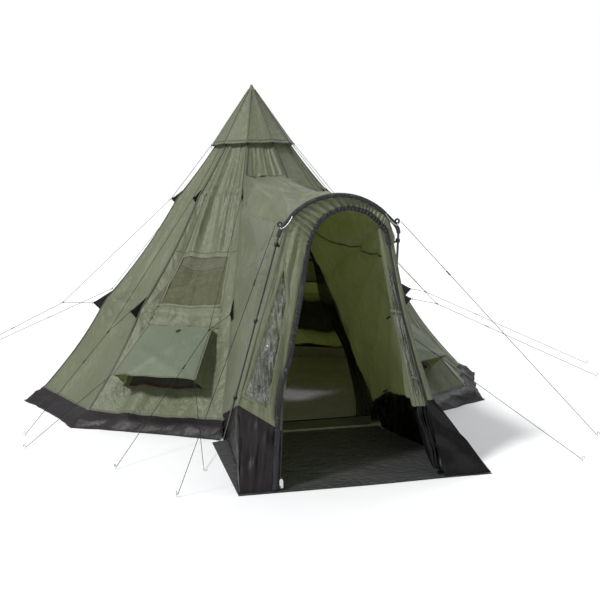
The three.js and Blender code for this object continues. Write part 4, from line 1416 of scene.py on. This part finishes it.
def front_band_edges(side):
    """The top edge and the ground line of the black cloth beside the doorway."""
    thirds = (0, 1 / 3, 2 / 3, 1)
    if side < 0:
        top = [front(mix(-0.892, -0.556, u), mix(0.682, 0.464, u), -0.004) for u in thirds]
        return top, [front(x, GROUND_Z) for x in (-0.916, -0.800, -0.700, -0.604)]
    top = [front(mix(0.664, 0.610, u), 0.622, -0.004) for u in thirds]
    ground_line = ((1.120, -4.296), (0.990, -4.330), (0.860, -4.318), (0.728, -4.322))
    return top, [Vector((x, y, GROUND_Z)) for x, y in ground_line]


def make_bands():
    for name, side in SIDES:
        top = [on_porch(side, 1 - k / 30) + Vector((side * 0.002, 0, 0)) for k in range(31)]
        far = Vector((side * 0.775, -2.396, GROUND_Z))
        by_leg = Vector((side * 0.768, -2.680, GROUND_Z))
        corner = Vector((-0.916, -4.320, GROUND_Z)) if side < 0 else Vector((1.120, -4.296, GROUND_Z))
        middle = by_leg.lerp(corner, 0.5) + Vector((side * -0.02, 0, 0))
        foot = [along([far, by_leg, middle, corner], k / 30) for k in range(31)]
        flank = band_grid(top, foot, 96, 51 + side)
        front_top, front_foot = front_band_edges(side)
        face = band_grid(front_top, front_foot, 40, 55 + side, drape=0.034 if side > 0 else 0.024)
        # the right-hand band takes the darker copy of the skirting as painted shade
        look = "skirting" if side < 0 else "skirting_painted_shade"
        out = Vector((side, 0, 0.2)).normalized()
        seam = ribbon(f"porch_band_seam_{name}", [p + out * 0.002 for p in top], out, 0.016)
        hem = ribbon(f"porch_band_hem_{name}", flank[-1], UP, 0.014, "webbing")
        front_hem = ribbon(f"porch_band_hem_front_{name}", face[-1], UP, 0.014, "webbing")
        cloth = cloth_grid(f"porch_band_{name}_side", flank, look)
        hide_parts(f"porch_skirt_{name}")
        edge, leg, ridge = side_curves(side, 1)
        cut = polygon_cut([edge, corner, by_leg, leg]) + polygon_cut([leg, by_leg, far, ridge])
        cloth = cloth_grid(f"porch_band_{name}_front", face, look)
        polygon_cut(front_top + front_foot[::-1])


PORCH_FLOOR = [
    (-0.90, -2.58), (-0.745, -2.415), (0.745, -2.415), (0.93, -2.58),
    (1.12, -4.345), (0.76, -4.368), (-0.66, -4.368), (-0.93, -4.368),
]


PORCH_FLOOR_FRONT, PORCH_FLOOR_BACK, DOORWAY_HALF = -4.368, -2.415, 0.745
THRESHOLD_SIZE = (1.38, 0.095)
THRESHOLD_Y = -2.338


def on_porch_floor(t, u):
    """t from the front edge to the tent, u from left to right."""
    s = 2 * u - 1
    y = mix(PORCH_FLOOR_FRONT, PORCH_FLOOR_BACK, t)
    wide = y < -2.60
    left = mix(0.93, 0.90, t) if wide else DOORWAY_HALF
    right = mix(1.12, 0.93, t) if wide else DOORWAY_HALF
    half = mix(DOORWAY_HALF, left if s < 0 else right, smooth((-2.42 - y) / 0.2))
    front_edge = mix(0.0, 0.035, smooth(s * 1.2)) * (1 - t) ** 6
    x = s * half
    folds = 0.5 + 0.5 * ripple(x * 2.2 + 0.8 * ripple(y * 1.5, x, 3), y * 3.4 + x * 1.4, 61)
    fine = 0.5 + 0.5 * ripple(x * 7, y * 6, 63)
    edge = smooth((1 - abs(s)) * 12) * ends(t, 1 / 16)
    return Vector((x, y + front_edge, 0.003 + (0.012 * folds + 0.005 * fine) * edge))


def make_porch_floor():
    sheet = cloth_grid("porch_floor_cloth", grid_of(70, 70, on_porch_floor), "porch_floor")
    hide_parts("porch_groundsheet")
    cut = polygon_cut([Vector((x, y, 0)) for x, y in PORCH_FLOOR])


def make_threshold():
    def point(t, u):
        s = 2 * u - 1
        z = mix(0.004, THRESHOLD_SIZE[1] - 0.006 * (1 - s * s), t)
        y = THRESHOLD_Y - 0.004 * t + 0.004 * ripple(s * 5, t, 71)
        return Vector((THRESHOLD_SIZE[0] / 2 * s, y, z))

    rows = grid_of(8, 60, point)
    strip = cloth_grid("threshold_cloth", rows, "canvas")
    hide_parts("door_threshold")
    ribbon("threshold_binding", rows[-1], Vector((0, -1, 0)), 0.012, "webbing", crown=0.003)


make_bands()
make_porch_floor()
make_threshold()


# ---------------------------------------------------------------- doors

# how far the bundle of the tied-back mesh door reaches in from its ridge: (z, reach)
MESH_DOOR = [
    (2.40, 0.42), (2.20, 0.30), (2.02, 0.19), (1.76, 0.11), (1.60, 0.055), (1.46, 0.065),
    (1.11, 0.14), (0.92, 0.11), (0.68, 0.09), (0.45, 0.12), (0.24, 0.17), (0.03, 0.24),
]
MESH_FOLDS, MESH_DOOR_FOOT, MESH_TIE_Z = 12, 0.03, 1.55


def on_mesh_door(t, u):
    """The door closes the whole front face, so each level gathers as much cloth as that face is wide."""
    z, reach = curve_2d(MESH_DOOR, t)
    ridge = polar(18, ridge_radius(z), z)
    tied = exp(-((z - MESH_TIE_Z) / 0.16) ** 2)
    depth = 1.2 * max(2 * half_width(z) - reach, 0.2) / (4 * MESH_FOLDS)
    x = ridge.x - 0.010 + 0.02 * tied - (reach + 0.02 * tied) * u
    swing = depth * (1 + sin(2 * pi * MESH_FOLDS * u + 1.4 * ripple(t * 3, u * 2, 81)))
    swing += 0.008 * ripple(u * 8, t * 9, 83)
    return Vector((x, max(ridge.y, THRESHOLD_Y) + 0.012 + swing, z))


def tie_loop(name, centre, size, width, look):
    """A tape round a tied-back door."""
    points = [centre + Vector((size[0] * cos(a), size[1] * sin(a), size[2] * cos(a))) for a in full_turn(24)]
    ribbon(name, points, [(p - centre).normalized() for p in points], width, look)


def make_mesh_door():
    door = cloth_grid("mesh_door_cloth", grid_of(99, MESH_FOLDS * 10, on_mesh_door), "screen")
    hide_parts("inner_mesh_door")
    2 * half_width(MESH_DOOR_FOOT)
    face_cut(MESH_DOOR_FOOT, PORCH_SEAM)
    ridge = polar(18, ridge_radius(MESH_TIE_Z), MESH_TIE_Z)
    tie_loop("mesh_door_tie", ridge + Vector((-0.045, 0.030, 0)), (0.062, 0.036, -0.010), 0.026, "webbing")


def bunch(name, steps, folds, seed, path, widths, cloth, look):
    """Cloth drawn into long folds along a path of (x, z). cloth is how wide it is when it is let out."""
    def point(t, u):
        width, full = curve_2d(list(zip(widths, cloth)), t)
        depth = full / (2 * folds)
        swing = 0.35 * ripple(t * 2.2, u * 3, seed)
        x = (u - 0.5) * width + 0.10 * width * sin(2 * pi * folds * u + 1.6)
        y = depth * 0.5 * (1 + sin(2 * pi * folds * (u + 0.03 * swing) + swing * 3))
        y += 0.25 * depth * ripple(u * 3, t * 3.5, seed + 1)
        return along(path, t) + Vector((x, y, 0.01 * ripple(u * 5, t * 3, seed + 2)))

    return cloth_grid(name, grid_of(steps, folds * 10, point), look)


DOOR_BAND_Z = 0.602
DOOR_FOOT = [(-0.606, 0.0), (0.728, 0.0)]
DOOR_PANE = (0.28, 1.05)
BUNCH = [(0.352, 1.960), (0.392, 1.640), (0.455, 1.240), (0.520, 0.880), (0.580, 0.560)]


def make_outer_door():
    """The door closes the doorway: canvas with a clear pane in it above, a black band below."""
    left_at_band, right_at_band = (-0.541, DOOR_BAND_Z), DOOR_EDGE[-1]
    canvas_cut = front_cut([left_at_band] + DOOR_EDGE[1:]) - DOOR_PANE[0] * DOOR_PANE[1]
    band_cut = front_cut([DOOR_FOOT[0], DOOR_EDGE[0], left_at_band, right_at_band, DOOR_FOOT[1]])

    path = [front(x, z, -0.016) for x, z in BUNCH]
    cloth = bunch("outer_door_cloth", 110, 7, 91, path, (0.05, 0.07, 0.09, 0.11, 0.13),
                  (0.52, 0.60, 0.66, 0.80, 0.95), "porch")
    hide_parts("outer_door")
    path = [front(x, z, -0.006) for x, z in ((0.378, 1.660), (0.432, 1.280), (0.486, 0.980), (0.548, 0.660))]
    film = bunch("outer_door_pane", 90, 4, 95, path, (0.02, 0.05, 0.07, 0.06), [DOOR_PANE[0]] * 4, "film")
    # the door's black band takes the darker copy of the skirting as painted shade
    path = [front(x, z, -0.030) for x, z in ((0.600, 0.580), (0.640, 0.400), (0.700, 0.200), (0.760, 0.060))]
    foot = bunch("outer_door_band", 50, 8, 97, path, (0.13, 0.15, 0.18, 0.20), (1.17, 1.22, 1.28, 1.32),
                 "skirting_painted_shade")
    for k, z in enumerate((1.30, 0.78)):
        x, _ = curve_2d(BUNCH, (BUNCH[0][1] - z) / (BUNCH[0][1] - BUNCH[-1][1]))
        tie_loop(f"outer_door_tie_{k}", front(x, z, -0.045), (0.062, 0.044, -0.012), 0.022, "seam")


make_mesh_door()
make_outer_door()


# ---------------------------------------------------------------- CAD pieces that stay

def dress_cad_parts():
    kept = {
        "steel": ["center_pole_lower", "center_pole_middle", "center_pole_upper"]
        + [name for name in NODES if name.startswith("stake_")],
        "plastic": ["center_pole_foot", "center_pole_cap", "porch_elbow_left", "porch_elbow_right",
                    "door_zip_slider"],
        "arch": ["porch_arch_pole"],
        "green": ["porch_leg_left", "porch_leg_right"],
        "white": ["zip_pull_tab"],
    }
    for look, names in kept.items():
        for name in names:
            NODES[name].data.materials.clear()
            NODES[name].data.materials.append(LOOKS[look])


dress_cad_parts()


# ---------------------------------------------------------------- stage

def make_stage():
    corners = [(400 * x, 400 * y, 0) for x, y in ((-1, -1), (1, -1), (1, 1), (-1, 1))]
    floor = mesh_object("ground", corners, [(0, 1, 2, 3)])
    s = Shader("ground")
    grain = s.ramp(s.noise(3, 3), [(0.3, (0.95, 0.95, 0.95)), (0.7, (0.97, 0.97, 0.97))])
    body = s.node("BsdfPrincipled", {"Base Color": grain, "Roughness": 0.95})
    floor.data.materials.append(s.finish(body.outputs[0]))
    floor.location.z = -0.0005

    world = bpy.data.worlds.new("studio")
    bpy.context.scene.world = world
    world.use_nodes = True
    tree = world.node_tree
    soft = tree.nodes["Background"]
    soft.inputs["Strength"].default_value = 0.68
    coords = tree.nodes.new("ShaderNodeTexCoord")
    split = tree.nodes.new("ShaderNodeSeparateXYZ")
    sky = tree.nodes.new("ShaderNodeValToRGB")
    for element, at, grey in zip(sky.color_ramp.elements, (0.05, 0.9), (0.30, 0.95)):
        element.position = at
        element.color = (grey * 0.95, grey * 0.97, grey, 1)
    tree.links.new(coords.outputs["Generated"], split.inputs[0])
    tree.links.new(split.outputs["Z"], sky.inputs["Fac"])
    tree.links.new(sky.outputs["Color"], soft.inputs["Color"])
    backdrop = tree.nodes.new("ShaderNodeBackground")
    backdrop.inputs["Strength"].default_value = 1.0
    backdrop.inputs["Color"].default_value = (1, 1, 1, 1)
    rays = tree.nodes.new("ShaderNodeLightPath")
    both = tree.nodes.new("ShaderNodeMixShader")
    tree.links.new(rays.outputs["Is Camera Ray"], both.inputs[0])
    tree.links.new(soft.outputs[0], both.inputs[1])
    tree.links.new(backdrop.outputs[0], both.inputs[2])
    tree.links.new(both.outputs[0], tree.nodes["World Output"].inputs["Surface"])
    for name, azimuth, height, strength, spread in (
        ("key", -64, 48, 2.5, 8),
        ("rim", 150, 42, 0.55, 30),
    ):
        light = bpy.data.lights.new(name, "SUN")
        light.energy = strength
        light.angle = radians(spread)
        lamp = new_object(name, light)
        source = polar(azimuth, cos(radians(height)), sin(radians(height)))
        lamp.rotation_euler = (-source).to_track_quat("-Z", "Y").to_euler()
    bpy.context.scene.view_settings.view_transform = "Standard"


make_stage()
